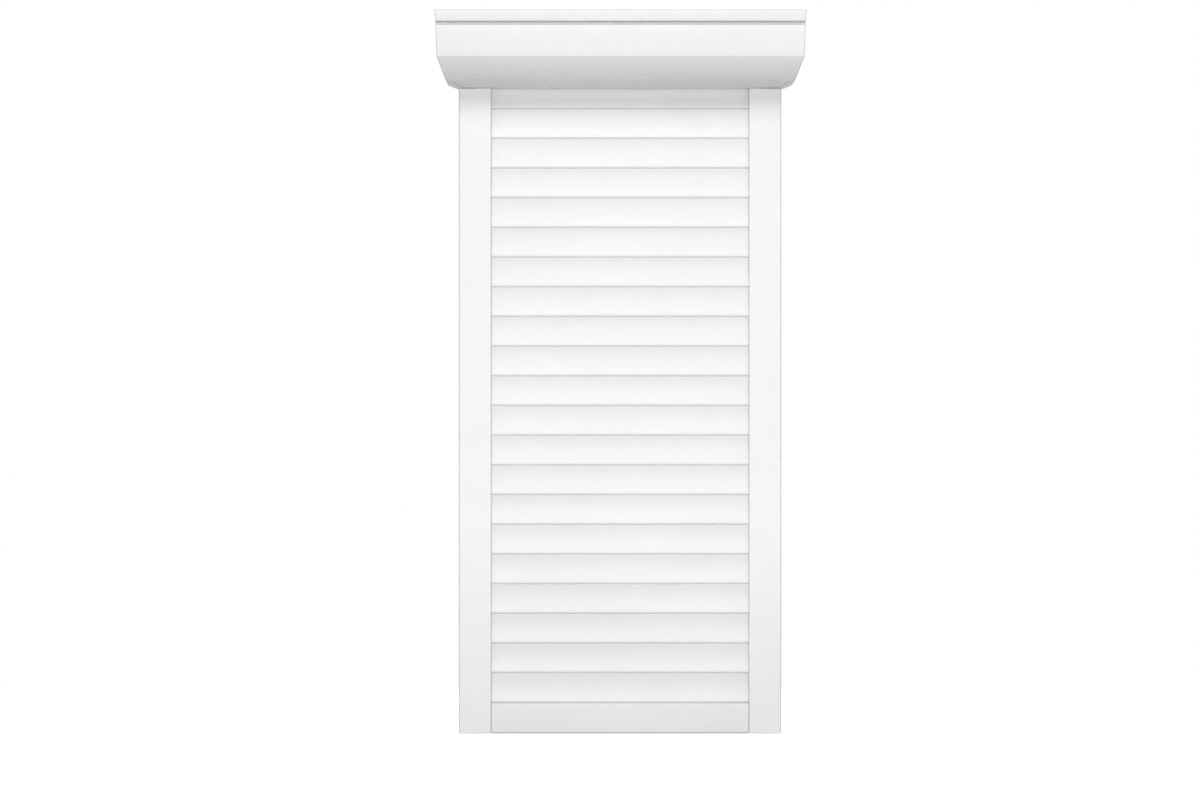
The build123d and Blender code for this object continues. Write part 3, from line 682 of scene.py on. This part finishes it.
@dataclass(frozen=True)
class BottomSlat:
    """Bottom slat: a tongue with the interlock's hook that runs in the rails, and a deeper bar in front."""

    profile: SlatProfile
    foot: float
    axis: float
    depth: float
    half_tongue: float
    half_bar: float
    corner: float = 1.6
    end_round: float = 1.2
    end_steps: int = 4
    overlap: float = 2.0
    hook_sunk: float = 1.0
    painted_edge_shade: float = 0.5
    stations: int = 13

    def build(self) -> None:
        """Builds the tongue, the bar and the hook as closed shells in one piece."""
        front = self.profile.depth + self.profile.curl_radius
        rear = self.profile.depth - self.profile.curl_radius
        shoulder = self.axis - self.profile.shoulder_drop
        tongue = rounded_block((rear, self.foot), (front, shoulder), self.corner)
        bar = rounded_block((front - self.overlap, self.foot), (self.depth, shoulder), self.corner)
        hook = self.profile.hook(self.axis, shoulder - self.hook_sunk)
        wide = np.linspace(-self.half_tongue, self.half_tongue, self.stations)
        points, faces = joined([extruded(tongue, wide), self._bar(bar), extruded(hook, wide)])
        # Painted shade along the bar's lower front edge, carried by the edge attribute.
        made = new_piece("bottom_slat_skin", points * MM, faces, Slot.SLAT, "curtain", self._painted_shade(points))
        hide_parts("bottom_slat")

    def _bar(self, outline: np.ndarray) -> Surface:
        """Runs the bar's section along X and draws it in at both ends by a quarter circle."""
        turn = np.linspace(0.0, math.pi / 2, self.end_steps + 1)[::-1]
        inset = self.end_round * (1.0 - np.sin(turn))
        reach = self.half_bar - self.end_round * (1.0 - np.cos(turn))
        stations = np.concatenate([-reach[::-1], reach])
        inset = np.concatenate([inset[::-1], inset])
        middle = outline.mean(axis=0)
        half = (outline.max(axis=0) - outline.min(axis=0)) / 2
        scale = 1.0 - inset[:, None, None] / half[None, None, :]
        section = middle + (outline - middle)[None, :, :] * scale
        return closed_loft(in_space(stations[:, None], section))

    def _painted_shade(self, points: np.ndarray) -> np.ndarray:
        """Painted shade of each point: some along the lower front edge."""
        front = -points[:, 1] > self.depth - 2.0 * self.corner
        rise = points[:, 2] - self.foot
        return self.painted_edge_shade * front * np.exp(-((rise / (1.5 * self.corner)) ** 2))


@dataclass(frozen=True)
class BottomSeal:
    """Rubber seal under the bottom slat, with ribs along its foot."""

    foot: float
    slat_foot: float
    middle: float
    half_length: float
    half_foot: float = 4.5
    half_neck: float = 1.5
    half_head: float = 3.0
    head_foot: float = 1.8
    head_height: float = 2.0
    ribs: int = 3
    rib_height: float = 0.5
    foot_points: int = 37
    stations: int = 9

    def build(self) -> None:
        """Runs the section along X; its underside is a cosine wave of the ribs' height."""
        across = np.linspace(-self.half_foot, self.half_foot, self.foot_points)
        wave = 0.5 - 0.5 * np.cos(2 * math.pi * self.ribs * (across + self.half_foot) / (2 * self.half_foot))
        under = np.column_stack([self.middle + across, self.foot + self.rib_height * (1.0 - wave)])
        low = self.slat_foot + self.head_foot
        upper = [
            (self.half_foot, self.slat_foot),
            (self.half_neck, self.slat_foot),
            (self.half_neck, low),
            (self.half_head, low),
            (self.half_head, low + self.head_height),
        ]
        right = [(self.middle + side, height) for side, height in upper]
        left = [(self.middle - side, height) for side, height in upper[::-1]]
        stations = np.linspace(-1.0, 1.0, self.stations) * self.half_length
        points, faces = extruded(np.vstack([under, right, left]), stations)
        made = new_piece("bottom_seal_skin", points * MM, faces, Slot.RUBBER, "curtain")
        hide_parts("bottom_seal")


@dataclass(frozen=True)
class BoxShape:
    """Section and front outline of the box, in millimetres above the rails' top."""

    rail_top: float
    half_width: float
    depth: float
    cap_wall: float = 3.0
    rail_depth: float = 34.0
    underside_rise: float = 12.0
    chamfer: float = 57.0
    groove_foot: float = 155.0
    lip_foot: float = 164.0
    height: float = 196.0
    flares: tuple[float, ...] = (0.0, 31.0, 52.0, 55.0, 58.0)
    chamfer_bow: float = 5.0
    front_bow: float = 4.2
    lip_bow: float = 2.2
    path_steps: int = 18

    def flare_heights(self) -> np.ndarray:
        """Heights where the front outline bends."""
        chamfer_rise = self.underside_rise + self.chamfer
        rises = [0.0, self.underside_rise, chamfer_rise, self.groove_foot, self.height]
        return self.rail_top + np.array(rises)

    def half_widths(self, heights: np.ndarray) -> np.ndarray:
        """Half the box's width at each height."""
        return np.interp(heights, self.flare_heights(), self.half_width + np.array(self.flares))

    def inner_bends(self) -> np.ndarray:
        """Bends of the end cap's inner side, as rows of (half width, height).

        Each stretch of the outline moves inwards by the wall, and neighbours meet where they cross.
        """
        outer = np.column_stack([self.half_width + np.array(self.flares), self.flare_heights()])
        run = np.diff(outer, axis=0)
        run /= np.linalg.norm(run, axis=1)[:, None]
        inwards = np.column_stack([-run[:, 1], run[:, 0]])
        first = outer[0] + inwards[0] * self.cap_wall
        last = outer[-1] + inwards[-1] * self.cap_wall
        both = inwards[:-1] + inwards[1:]
        scale = self.cap_wall / np.sum(both * inwards[:-1], axis=1)
        middle = outer[1:-1] + both * scale[:, None]
        first = first - run[0] * (first[1] - outer[0, 1]) / run[0, 1]
        return np.vstack([first, middle, last])

    def inner_half_widths(self, heights: np.ndarray) -> np.ndarray:
        """Half the width between the end caps at each height."""
        inner = self.inner_bends()
        return np.interp(heights, inner[:, 1], inner[:, 0])

    def bend_heights(self) -> np.ndarray:
        """Heights where the outer or the inner side of the end caps bends, rising."""
        return np.unique(np.concatenate([self.flare_heights(), self.inner_bends()[:, 1]]))

    def front_path(self) -> np.ndarray:
        """Outer line of the front from the rails up to the groove, as rows of (depth, height).

        The sloped and the upright stretch bulge forwards as parabolas.
        """
        share = np.linspace(0.0, 1.0, self.path_steps + 1)
        chamfer_foot = self.rail_top + self.underside_rise
        chamfer_head = chamfer_foot + self.chamfer
        inner_depth = self.depth - self.chamfer
        swell = math.sqrt(0.5) * self.chamfer_bow * bulge(share)
        sloped = np.column_stack([
            inner_depth + self.chamfer * share + swell,
            chamfer_foot + self.chamfer * share - swell,
        ])
        front_height = self.rail_top + self.groove_foot - chamfer_head
        depths = self.depth + self.front_bow * bulge(share)
        front = np.column_stack([depths, chamfer_head + front_height * share])
        return np.vstack([sloped, front[1:]])


@dataclass(frozen=True)
class FrontCover:
    """Removable cover: one folded sheet with a rounded fold at each bend, run between the end caps."""

    box: BoxShape
    wall: float = 1.5
    upstand: float = 14.0
    groove_depth: float = 6.0
    flange: float = 16.0
    fold_radius: float = 3.0
    groove_shade: float = 2.0
    groove_edge: float = 2.0
    stations: int = 15

    def _path(self) -> np.ndarray:
        """Outer line of the sheet from its flange under the box to the upstand behind the lip."""
        front = self.box.front_path()
        underside_run = self.box.depth - self.box.chamfer - self.box.rail_depth
        fall = self.flange * self.box.underside_rise / underside_run
        end = front[0] - np.array([self.flange, fall])
        groove = front[-1] - np.array([self.groove_depth, 0.0])
        top = groove + np.array([0.0, self.upstand])
        return soften(np.vstack([end, front, groove, top]), self.fold_radius)

    def build(self) -> None:
        """Builds the cover over its solid, with painted shade in the groove."""
        outline = sheet_outline(self._path(), self.wall)
        across = np.linspace(-1.0, 1.0, self.stations)[:, None]
        rings = in_space(across * self.box.inner_half_widths(outline[:, 1]), outline)
        points, faces = closed_loft(rings * MM)
        # Painted shade: points inside the groove get a high edge value, so the coat there is darker.
        high = outline[:, 1] > self.box.rail_top + self.box.groove_foot - self.fold_radius
        groove = high & (outline[:, 0] < self.box.depth - self.groove_edge)
        edge = np.tile(self.groove_shade * groove, self.stations)
        made = new_piece("front_cover_skin", points, faces, Slot.BOX, "frame", edge)
        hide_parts("front_cover")


@dataclass(frozen=True)
class RoofPanel:
    """Roof and back of the box: one sheet from its front lip over the top and down the wall."""

    box: BoxShape
    foot: float
    hole: Pair
    hole_radius: float = 7.1
    hole_margin: float = 7.0
    wall: float = 1.5
    lip_return: float = 5.4
    lip_steps: int = 8
    fold_radius: float = 3.0
    bend_gap: float = 0.5
    top_edge_shade: float = 1.4
    low_edge_shade: float = 1.0
    top_reach: float = 1.2
    low_reach: float = 1.5
    lip_reach: float = 3.0
    clear_share: float = 0.01
    stations: int = 15
    arc_steps: int = 8

    def _path(self) -> np.ndarray:
        """Outer line of the sheet: lip return, bowed lip, roof and back, as rows of (depth, height)."""
        low, high = self.box.rail_top + self.box.lip_foot, self.box.rail_top + self.box.height
        share = np.linspace(0.0, 1.0, self.lip_steps + 1)
        lip_depths = self.box.depth + self.box.lip_bow * bulge(share)
        lip = np.column_stack([lip_depths, low + (high - low) * share])
        reach = self.hole_radius + self.hole_margin
        above, below = self.hole[1] + reach, self.hole[1] - reach
        bends = [
            bend
            for bend in self.box.bend_heights()[::-1]
            if self.foot + self.bend_gap < bend < below - self.bend_gap
        ]
        back = [(0.0, height) for height in (high, above, below, *bends, self.foot)]
        start = [(self.box.depth - self.lip_return, low)]
        return soften(np.vstack([start, lip, back]), self.fold_radius)

    def _stations(self) -> np.ndarray:
        """Shares of the half width, with one on each side of the hole."""
        half = self.box.inner_half_widths(np.array([self.hole[1]]))[0]
        reach = self.hole_radius + self.hole_margin
        beside = np.array([self.hole[0] - reach, self.hole[0] + reach]) / half
        even = np.linspace(-1.0, 1.0, self.stations)
        clear = (even < beside[0] - self.clear_share) | (even > beside[1] + self.clear_share)
        return np.sort(np.concatenate([even[clear], beside]))

    def build(self) -> None:
        """Lofts the sheet, then opens the cable's hole in its back."""
        path = self._path()
        outline = sheet_outline(path, self.wall)
        stations = self._stations()
        rings = in_space(stations[:, None] * self.box.inner_half_widths(outline[:, 1]), outline)
        points, faces = closed_loft(rings)
        column = int(np.sum(rings[:, -1, 0] < self.hole[0])) - 1
        off = np.abs(path[:, 1] - self.hole[1] - self.hole_radius - self.hole_margin) + path[:, 0]
        points, faces = self._opened(points, faces, len(outline), column, int(np.argmin(off)))
        # Painted shade along the lip's upper and lower edge; the hole's points get none.
        edge = np.zeros(len(points))
        shaded = np.tile(self._painted_shade(outline), len(stations))
        edge[: len(shaded)] = shaded
        made = new_piece("roof_back_panel_skin", points * MM, faces, Slot.BOX, "frame", edge)
        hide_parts("roof_back_panel")

    def _painted_shade(self, outline: np.ndarray) -> np.ndarray:
        """Painted shade of each point: along the lip's upper and lower edge."""
        rise = outline[:, 1] - self.box.rail_top
        top = np.abs(rise - self.box.height) < self.top_reach
        low = np.abs(rise - self.box.lip_foot) < self.low_reach
        lip = outline[:, 0] > self.box.depth - self.lip_reach
        return self.top_edge_shade * (lip & top) + self.low_edge_shade * (lip & low)

    def _opened(self, points: np.ndarray, faces: list, around: int, column: int, above: int) -> Surface:
        """Trades one quad of each side for four many-sided faces round the hole, and adds its wall.

        Args:
            points: Places of the sheet.
            faces: Its faces.
            around: Points in each ring.
            column: Ring on the low side of the hole.
            above: Point in the ring just above the hole.

        Returns:
            Points and faces with the hole.
        """
        gone = (column * around + above, column * around + around - 2 - above)
        outer, inner = faces[gone[0]], faces[gone[1]][::-1]
        kept = [face for number, face in enumerate(faces) if number not in gone]
        count = 4 * self.arc_steps
        turn = np.radians(135.0) - np.linspace(0.0, 2 * math.pi, count, endpoint=False)
        circle = np.empty((2, count, 3))
        circle[:, :, 0] = self.hole[0] + self.hole_radius * np.cos(turn)
        circle[:, :, 1] = np.array([0.0, -self.wall])[:, None]
        circle[:, :, 2] = self.hole[1] + self.hole_radius * np.sin(turn)
        first = len(points)
        for side in range(4):
            following = (side + 1) % 4
            ahead = [first + (side * self.arc_steps + step) % count for step in range(self.arc_steps + 1)]
            kept.append([outer[side], outer[following], *ahead[::-1]])
            kept.append([inner[following], inner[side], *(count + point for point in ahead)])
        for step in range(first, first + count):
            after = first + (step - first + 1) % count
            kept.append([step, after, count + after, count + step])
        return np.vstack([points, circle.reshape(-1, 3)]), kept


@dataclass(frozen=True)
class EndCaps:
    """Flared caps at both ends of the box, with a softly rounded front edge."""

    box: BoxShape
    edge_width: float = 2.6
    painted_edge_shade: float = 1.5
    steps: int = 6

    def build(self) -> None:
        """Builds the right cap and mirrors it to the left.

        Each ring is the cap's cut at one height: a strip between the inner and the outer width,
        as deep as the box is there, with a quarter circle at the outer front corner.
        """
        low, high = self.box.rail_top, self.box.rail_top + self.box.height
        front = np.vstack([(self.box.rail_depth, low), self.box.front_path(), (self.box.depth, high)])
        heights = np.concatenate([front[:, 1], self.box.bend_heights()])
        heights = np.unique(np.clip(heights, low, high).round(3))
        depths = np.interp(heights, front[:, 1], front[:, 0])
        outer = self.box.half_widths(heights)
        inner = self.box.inner_half_widths(heights)
        turn = np.linspace(0.0, math.pi / 2, self.steps + 1)
        rings = np.empty((len(heights), self.steps + 4, 3))
        rings[:, 0, 0], rings[:, 0, 1] = inner, 0.0
        rings[:, 1, 0], rings[:, 1, 1] = outer, 0.0
        rings[:, 2:-1, 0] = outer[:, None] - self.edge_width * (1.0 - np.cos(turn))[None, :]
        rings[:, 2:-1, 1] = depths[:, None] - self.edge_width * (1.0 - np.sin(turn))[None, :]
        rings[:, -1, 0], rings[:, -1, 1] = inner, depths
        rings[:, :, 1] *= -1.0
        rings[:, :, 2] = heights[:, None]
        points, faces = closed_loft(rings * MM)
        # Painted shade on the rounded front edge, carried by the edge attribute.
        edge = np.zeros(rings.shape[:2])
        edge[:, 2:-2] = self.painted_edge_shade
        both_sides("end_cap", "_skin", points, faces, Slot.CAP, edge.ravel())


@dataclass(frozen=True)
class RailCovers:
    """Clip-on covers of the guide rails, with soft edges and two clip legs."""

    inner: float
    outer: float
    foot: float
    top: float
    front: float = 34.0
    wall: float = 1.6
    lip: float = 5.0
    edge_width: float = 3.6
    inner_edge_depth: float = 2.88
    inner_fold: float = 0.4
    leg_length: float = 8.0
    leg_wall: float = 1.4
    leg_places: Pair = (41.2, 85.4)
    painted_edge_shade: float = 1.5
    steps: int = 6
    rings: int = 40

    def _plan(self) -> np.ndarray:
        """Closed plan of the right cover: rounded outer edge, rounded inner edge, lip and clip legs."""
        turn = np.linspace(0.0, math.pi / 2, self.steps + 1)
        back = self.front - self.wall
        outer_edge = np.column_stack([
            self.outer - self.edge_width * (1.0 - np.cos(turn)),
            self.front - self.wall * (1.0 - np.sin(turn)),
        ])
        inner_edge = np.column_stack([
            self.inner + self.edge_width * (1.0 - np.sin(turn)),
            self.front - self.inner_edge_depth * (1.0 - np.cos(turn)),
        ])
        inside = self.inner + self.wall
        tail = [
            (self.inner, self.front - self.lip),
            (inside, self.front - self.lip),
            (inside, back - self.inner_fold),
            (inside + self.inner_fold, back),
        ]
        for place in self.leg_places:
            left = self.inner + place
            right = left + self.leg_wall
            end = back - self.leg_length
            tail.extend([(left, back), (left, end), (right, end), (right, back)])
        return supported(np.vstack([outer_edge, inner_edge, tail]))

    def build(self) -> None:
        """Builds the right cover and mirrors it to the left."""
        plan = self._plan()
        points, faces = upright(plan * MM, np.linspace(self.foot, self.top, self.rings) * MM)
        # Painted shade on the rounded outer edge of each cover, carried by the edge attribute.
        rim = np.zeros(len(plan))
        rim[: self.steps] = self.painted_edge_shade
        both_sides("rail_cover", "_skin", points, faces, Slot.RAIL, np.tile(rim, self.rings))


@dataclass(frozen=True)
class CoverScrews:
    """Hexagon screws with a washer face, in a row under the front cover's flange."""

    box: BoxShape
    half_row: float
    count: int = 5
    inset: float = 8.0
    head_radius: float = 3.4
    head_foot: float = 0.65
    head_height: float = 1.5
    crown_height: float = 0.05
    washer_radius: float = 4.2
    washer_rim: float = 0.35
    washer_height: float = 0.6
    shank_radius: float = 1.9
    shank_length: float = 6.0
    shank_steps: int = 40
    thread_pitch: float = 1.2
    thread_depth: float = 0.15
    around: int = 48

    def _rows(self, angle: np.ndarray) -> list[tuple[float, np.ndarray]]:
        """Place along the axis and reach of each ring, from the shank's end to the head's crown.

        The shank's reach is a sine wave for the thread, the washer's is even, and the hexagon's
        is its flat over the cosine of the angle to it, drawn in towards its top.
        """
        even = np.ones(self.around)
        flat = self.head_radius * math.cos(math.pi / 6)
        hexagon = flat / np.cos((angle + math.pi / 6) % (math.pi / 3) - math.pi / 6)
        rows = []
        for along in np.linspace(-self.shank_length, -self.crown_height, self.shank_steps):
            wave = math.sin(2 * math.pi * along / self.thread_pitch)
            rows.append((along, even * (self.shank_radius + self.thread_depth * wave)))
        top = self.head_height
        return rows + [
            (0.0, even * self.washer_radius),
            (self.washer_rim, even * self.washer_radius),
            (self.washer_height, even * self.washer_radius * 0.94),
            (self.head_foot, hexagon),
            (top - 0.35, hexagon),
            (top - 0.08, np.minimum(hexagon, flat * 1.03)),
            (top, np.minimum(hexagon * 0.9, flat * 0.93)),
            (top + self.crown_height, hexagon * 0.5),
        ]

    def build(self) -> None:
        """Builds all screws as one piece, square to the box's sloping underside."""
        underside_run = self.box.depth - self.box.chamfer - self.box.rail_depth
        slope = math.atan2(self.box.underside_rise, underside_run)
        outwards = np.array([0.0, -math.sin(slope), -math.cos(slope)])
        side = np.array([1.0, 0.0, 0.0])
        up = np.cross(side, outwards)
        angle = np.linspace(0.0, 2 * math.pi, self.around, endpoint=False)
        rows = self._rows(angle)
        along = np.array([row[0] for row in rows])[:, None, None]
        reach = np.array([row[1] for row in rows])[:, :, None]
        cosine, sine = np.cos(angle)[:, None], np.sin(angle)[:, None]
        points, faces = closed_loft(along * outwards + reach * cosine * side + reach * sine * up)
        depth = self.box.depth - self.box.chamfer - self.inset
        rise = self.box.underside_rise * (depth - self.box.rail_depth) / underside_run
        row = np.linspace(-self.half_row, self.half_row, self.count)
        places = [np.array([across, -depth, self.box.rail_top + rise]) for across in row]
        all_points, all_faces = joined([(points + place, faces) for place in places])
        made = new_piece("cover_screws_skin", all_points * MM, all_faces, Slot.BRIGHT, "frame")
        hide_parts("cover_screws")


@dataclass(frozen=True)
class CableGrommet:
    """Ribbed rubber grommet in the back of the box."""

    middle: Pair
    bush_radius: float = 7.0
    flange_radius: float = 10.0
    bore_radius: float = 3.5
    panel_wall: float = 1.5
    flange_wall: float = 2.0
    rim: float = 0.4
    ribs: int = 3
    rib_height: float = 0.18
    face_points: int = 40
    around: int = 64

    def _section(self) -> np.ndarray:
        """Closed section as rows of (radius, depth); the flange's face is a cosine wave of low ribs."""
        face = self.panel_wall + self.flange_wall
        radii = np.linspace(self.flange_radius - self.rim, self.bore_radius + self.rim, self.face_points)
        turn = 2 * math.pi * (radii - radii[0]) / (radii[0] - radii[-1]) * self.ribs
        ribs = face + self.rib_height * np.cos(turn) - self.rib_height
        return np.vstack([
            [(self.bore_radius, 0.0), (self.bush_radius, 0.0), (self.bush_radius, self.panel_wall)],
            [(self.flange_radius, self.panel_wall), (self.flange_radius, face - self.rim)],
            np.column_stack([radii, ribs]),
            [(self.bore_radius, face - self.rim)],
        ])

    def build(self) -> None:
        """Turns the section about the cable's axis."""
        section = self._section()
        angle = np.linspace(0.0, 2 * math.pi, self.around, endpoint=False)[:, None]
        points = np.empty((self.around, len(section), 3))
        points[:, :, 0] = self.middle[0] + section[:, 0] * np.cos(angle)
        points[:, :, 1] = -section[:, 1]
        points[:, :, 2] = self.middle[1] + section[:, 0] * np.sin(angle)
        faces = ring_faces(self.around, len(section), closed=True)
        made = new_piece("cable_grommet_skin", points.reshape(-1, 3) * MM, faces, Slot.RUBBER, "frame")
        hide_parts("cable_grommet")


@dataclass(frozen=True)
class BrushPile:
    """Loose fibres round the solid core of each brush seal, in the guide channels."""

    middle: float
    foot: float
    top: float
    strips: tuple[Pair, ...] = ((3.8, 6.4), (28.5, 20.7))
    spacing: float = 2.0
    half_core: float = 0.95
    root_spread: float = 0.12
    height_spread: float = 0.8
    lean: float = 0.25
    thickness: float = 0.12
    seed: int = 7

    def _fibres(self) -> tuple[np.ndarray, np.ndarray]:
        """Roots and tips of the right side's fibres, each tip leaning by a random amount."""
        random = np.random.default_rng(self.seed)
        places = np.arange(self.foot + self.spacing, self.top - self.spacing, self.spacing)
        count = len(places)
        roots, tips = [], []
        for start, end in self.strips:
            for side in (-1.0, 1.0):
                x = self.middle + side * (self.half_core + random.uniform(0.0, self.root_spread, count))
                z = places + random.uniform(-self.height_spread, self.height_spread, count)
                lean = random.normal(0.0, self.lean, (count, 2))
                roots.append(np.column_stack([x, np.full(count, -start), z]))
                tips.append(np.column_stack([x + lean[:, 0], np.full(count, -end), z + lean[:, 1]]))
        return np.vstack(roots), np.vstack(tips)

    def build(self) -> None:
        """Builds the fibres of each side as one piece of slim three-sided spikes."""
        root, tip = self._fibres()
        turn = np.radians([90.0, 210.0, 330.0])
        corner = self.thickness * np.column_stack([np.cos(turn), np.zeros(3), np.sin(turn)])
        foot = root[:, None, :] + corner[None, :, :]
        points = np.concatenate([foot, tip[:, None, :]], axis=1).reshape(-1, 3) * MM
        spike = np.array([[0, 1, 3], [1, 2, 3], [2, 0, 3], [2, 1, 0]])
        faces = np.arange(len(root))[:, None, None] * 4 + spike[None, :, :]
        backwards = tip[:, 1] > root[:, 1]
        faces[backwards] = faces[backwards][:, :, ::-1]
        both_sides("brush_pile", "", points, faces.reshape(-1, 3).tolist(), Slot.BRUSH)


def dress_solids() -> None:
    """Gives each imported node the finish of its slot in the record."""
    slots = {row["node"]: row["material_slot"] for row in frame["record"]["subparts"]}
    for name, node in frame["nodes"].items():
        material = MATERIALS[Slot(slots[name])]
        if node.data.materials:
            node.data.materials[0] = material
        else:
            node.data.materials.append(material)


@dataclass(frozen=True)
class Lamp:
    """Broad square lamp, in metres and watts."""

    name: str
    place: Triple
    side: float
    power: float

    def build(self, aim: Triple) -> None:
        """Adds the lamp, turned towards the aim."""
        data = bpy.data.lights.new(self.name, "AREA")
        data.shape = "SQUARE"
        data.size = self.side
        data.energy = self.power
        lamp = placed(self.name, data)
        lamp.location = self.place
        way = Vector(aim) - Vector(self.place)
        lamp.rotation_euler = way.to_track_quat("-Z", "Y").to_euler()


@dataclass(frozen=True)
class Studio:
    """Camera, lamps, world and floor, in metres."""

    camera_place: Triple = (-0.056, -7.534, 0.031)
    picture_width: float = 3.348
    sensor_width: float = 36.0
    subject_depth: float = 34.0 * MM
    far_clip: float = 60.0
    aim: Triple = (0.0, 0.0, 0.1)
    lamps: tuple[Lamp, ...] = (
        Lamp("key_lamp", (-0.6, -16.0, 10.4), 7.8, 1390.0),
        Lamp("fill_lamp", (0.3, -11.0, 0.0), 5.0, 380.0),
        Lamp("right_lamp", (5.0, 3.5, 2.2), 2.5, 150.0),
        Lamp("left_lamp", (-5.0, 3.5, 2.2), 2.5, 150.0),
    )
    ambient: float = 0.34
    floor_colour: float = 0.56
    floor_glow: float = 0.75
    floor_size: Pair = (6.0, 4.2)
    floor_middle: float = -0.9

    def build(self) -> None:
        """Sets the camera, the lamps, the world and the floor."""
        scene = bpy.context.scene
        scene.view_settings.view_transform = "Standard"
        scene.camera = self._camera()
        for lamp in self.lamps:
            lamp.build(self.aim)
        scene.world = self._world()
        self._floor()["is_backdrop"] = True

    def _camera(self) -> bpy.types.Object:
        """Long lens at the middle of the shutter, level and square to the wall."""
        data = bpy.data.cameras.new("photo_camera")
        data.sensor_width = self.sensor_width
        distance = -self.camera_place[1] - self.subject_depth
        data.lens = self.sensor_width * distance / self.picture_width
        data.clip_end = self.far_clip
        camera = placed("photo_camera", data)
        camera.location = self.camera_place
        camera.rotation_euler = (math.radians(90.0), 0.0, 0.0)
        return camera

    def _seen(self, graph: NodeGraph) -> Socket:
        """Share that is 1 for camera, glossy and transmission rays and 0 for the others."""
        rays = graph.add("ShaderNodeLightPath").outputs
        direct = graph.combined("MAXIMUM", rays["Is Camera Ray"], rays["Is Glossy Ray"])
        return graph.combined("MAXIMUM", direct, rays["Is Transmission Ray"])

    def _world(self) -> bpy.types.World:
        """White where it is seen, and a plain grey light elsewhere."""
        world = bpy.data.worlds.new("pale_world")
        graph = NodeGraph(world)
        light = graph.add("ShaderNodeBackground", color=(1.0, 1.0, 1.0, 1.0), strength=self.ambient)
        seen = graph.add("ShaderNodeBackground", color=(1.0, 1.0, 1.0, 1.0), strength=1.0)
        mix = graph.add("ShaderNodeMixShader")
        output = graph.add("ShaderNodeOutputWorld")
        graph.link(self._seen(graph), mix.inputs[0])
        graph.link(light.outputs["Background"], mix.inputs[1])
        graph.link(seen.outputs["Background"], mix.inputs[2])
        graph.link(mix.outputs["Shader"], output.inputs["Surface"])
        return world

    def _floor(self) -> bpy.types.Object:
        """Pale floor under the shutter, brightened only where it is seen, so that its shadow stays."""
        material = bpy.data.materials.new("pale_floor")
        graph = NodeGraph(material)
        matt = graph.add("ShaderNodeBsdfDiffuse", color=(self.floor_colour,) * 3 + (1.0,))
        glow = graph.add("ShaderNodeEmission", color=(1.0, 1.0, 1.0, 1.0))
        strength = graph.ranged(self._seen(graph), 0.0, 1.0, 0.0, self.floor_glow)
        both = graph.add("ShaderNodeAddShader")
        output = graph.add("ShaderNodeOutputMaterial")
        graph.link(strength, glow.inputs["Strength"])
        graph.link(matt.outputs["BSDF"], both.inputs[0])
        graph.link(glow.outputs["Emission"], both.inputs[1])
        graph.link(both.outputs["Shader"], output.inputs["Surface"])
        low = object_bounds()[0].z
        half_x, half_y = self.floor_size[0] / 2, self.floor_size[1] / 2
        turns = ((-1, -1), (1, -1), (1, 1), (-1, 1))
        corners = [(x * half_x, self.floor_middle + y * half_y, low) for x, y in turns]
        mesh = bpy.data.meshes.new("floor")
        mesh.from_pydata(corners, [], [(0, 1, 2, 3)])
        mesh.materials.append(material)
        return placed("floor", mesh)


def build_curtain() -> None:
    """Builds all slats and the bottom seal over their solids."""
    slats = sorted(name for name in frame["nodes"] if name.startswith("slat_"))
    pitch = (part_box("slat_01")[1].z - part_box("slat_02")[1].z) / MM
    profile = SlatProfile(pitch=pitch)
    Curtain(profile, slats).build()
    slat_low, slat_high = box_in_mm("bottom_slat")
    seal_low, seal_high = box_in_mm("bottom_seal")
    half_bar = seal_high[0] + BAR_BEYOND_SEAL
    slat_axis = slat_high[2] - profile.hook_radius
    BottomSlat(profile, slat_low[2], slat_axis, -slat_low[1], slat_high[0], half_bar).build()
    seal_middle = -(seal_low[1] + seal_high[1]) / 2
    BottomSeal(seal_low[2], slat_low[2], seal_middle, seal_high[0]).build()


def build_housing() -> None:
    """Builds the rail covers, the box, its screws and grommet, and the brush piles."""
    rail_low, rail_high = box_in_mm("rail_cover_right")
    RailCovers(rail_low[0], rail_high[0], rail_low[2], rail_high[2]).build()
    box_depth = -box_in_mm("end_cap_right")[0][1]
    box = BoxShape(rail_top=rail_high[2], half_width=rail_high[0], depth=box_depth)
    FrontCover(box).build()
    EndCaps(box).build()
    screw_low, screw_high = (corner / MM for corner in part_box("cover_screws"))
    CoverScrews(box, (screw_high.x - screw_low.x) / 2 - SCREW_SOLID_RADIUS).build()
    grommet_low, grommet_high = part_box("cable_grommet")
    outlet = tuple(((grommet_low + grommet_high) / 2 / MM).xz)
    CableGrommet(outlet).build()
    RoofPanel(box, box_in_mm("roof_back_panel")[0][2], outlet).build()
    brush_low, brush_high = box_in_mm("brush_seal_right")
    BrushPile((brush_low[0] + brush_high[0]) / 2, brush_low[2], brush_high[2]).build()


def main() -> None:
    """Dresses the shutter and sets up the studio."""
    logging.basicConfig(level=logging.INFO, format="%(message)s")
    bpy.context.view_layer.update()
    dress_solids()
    build_curtain()
    build_housing()
    Studio().build()


if __name__ == "__main__":
    main()
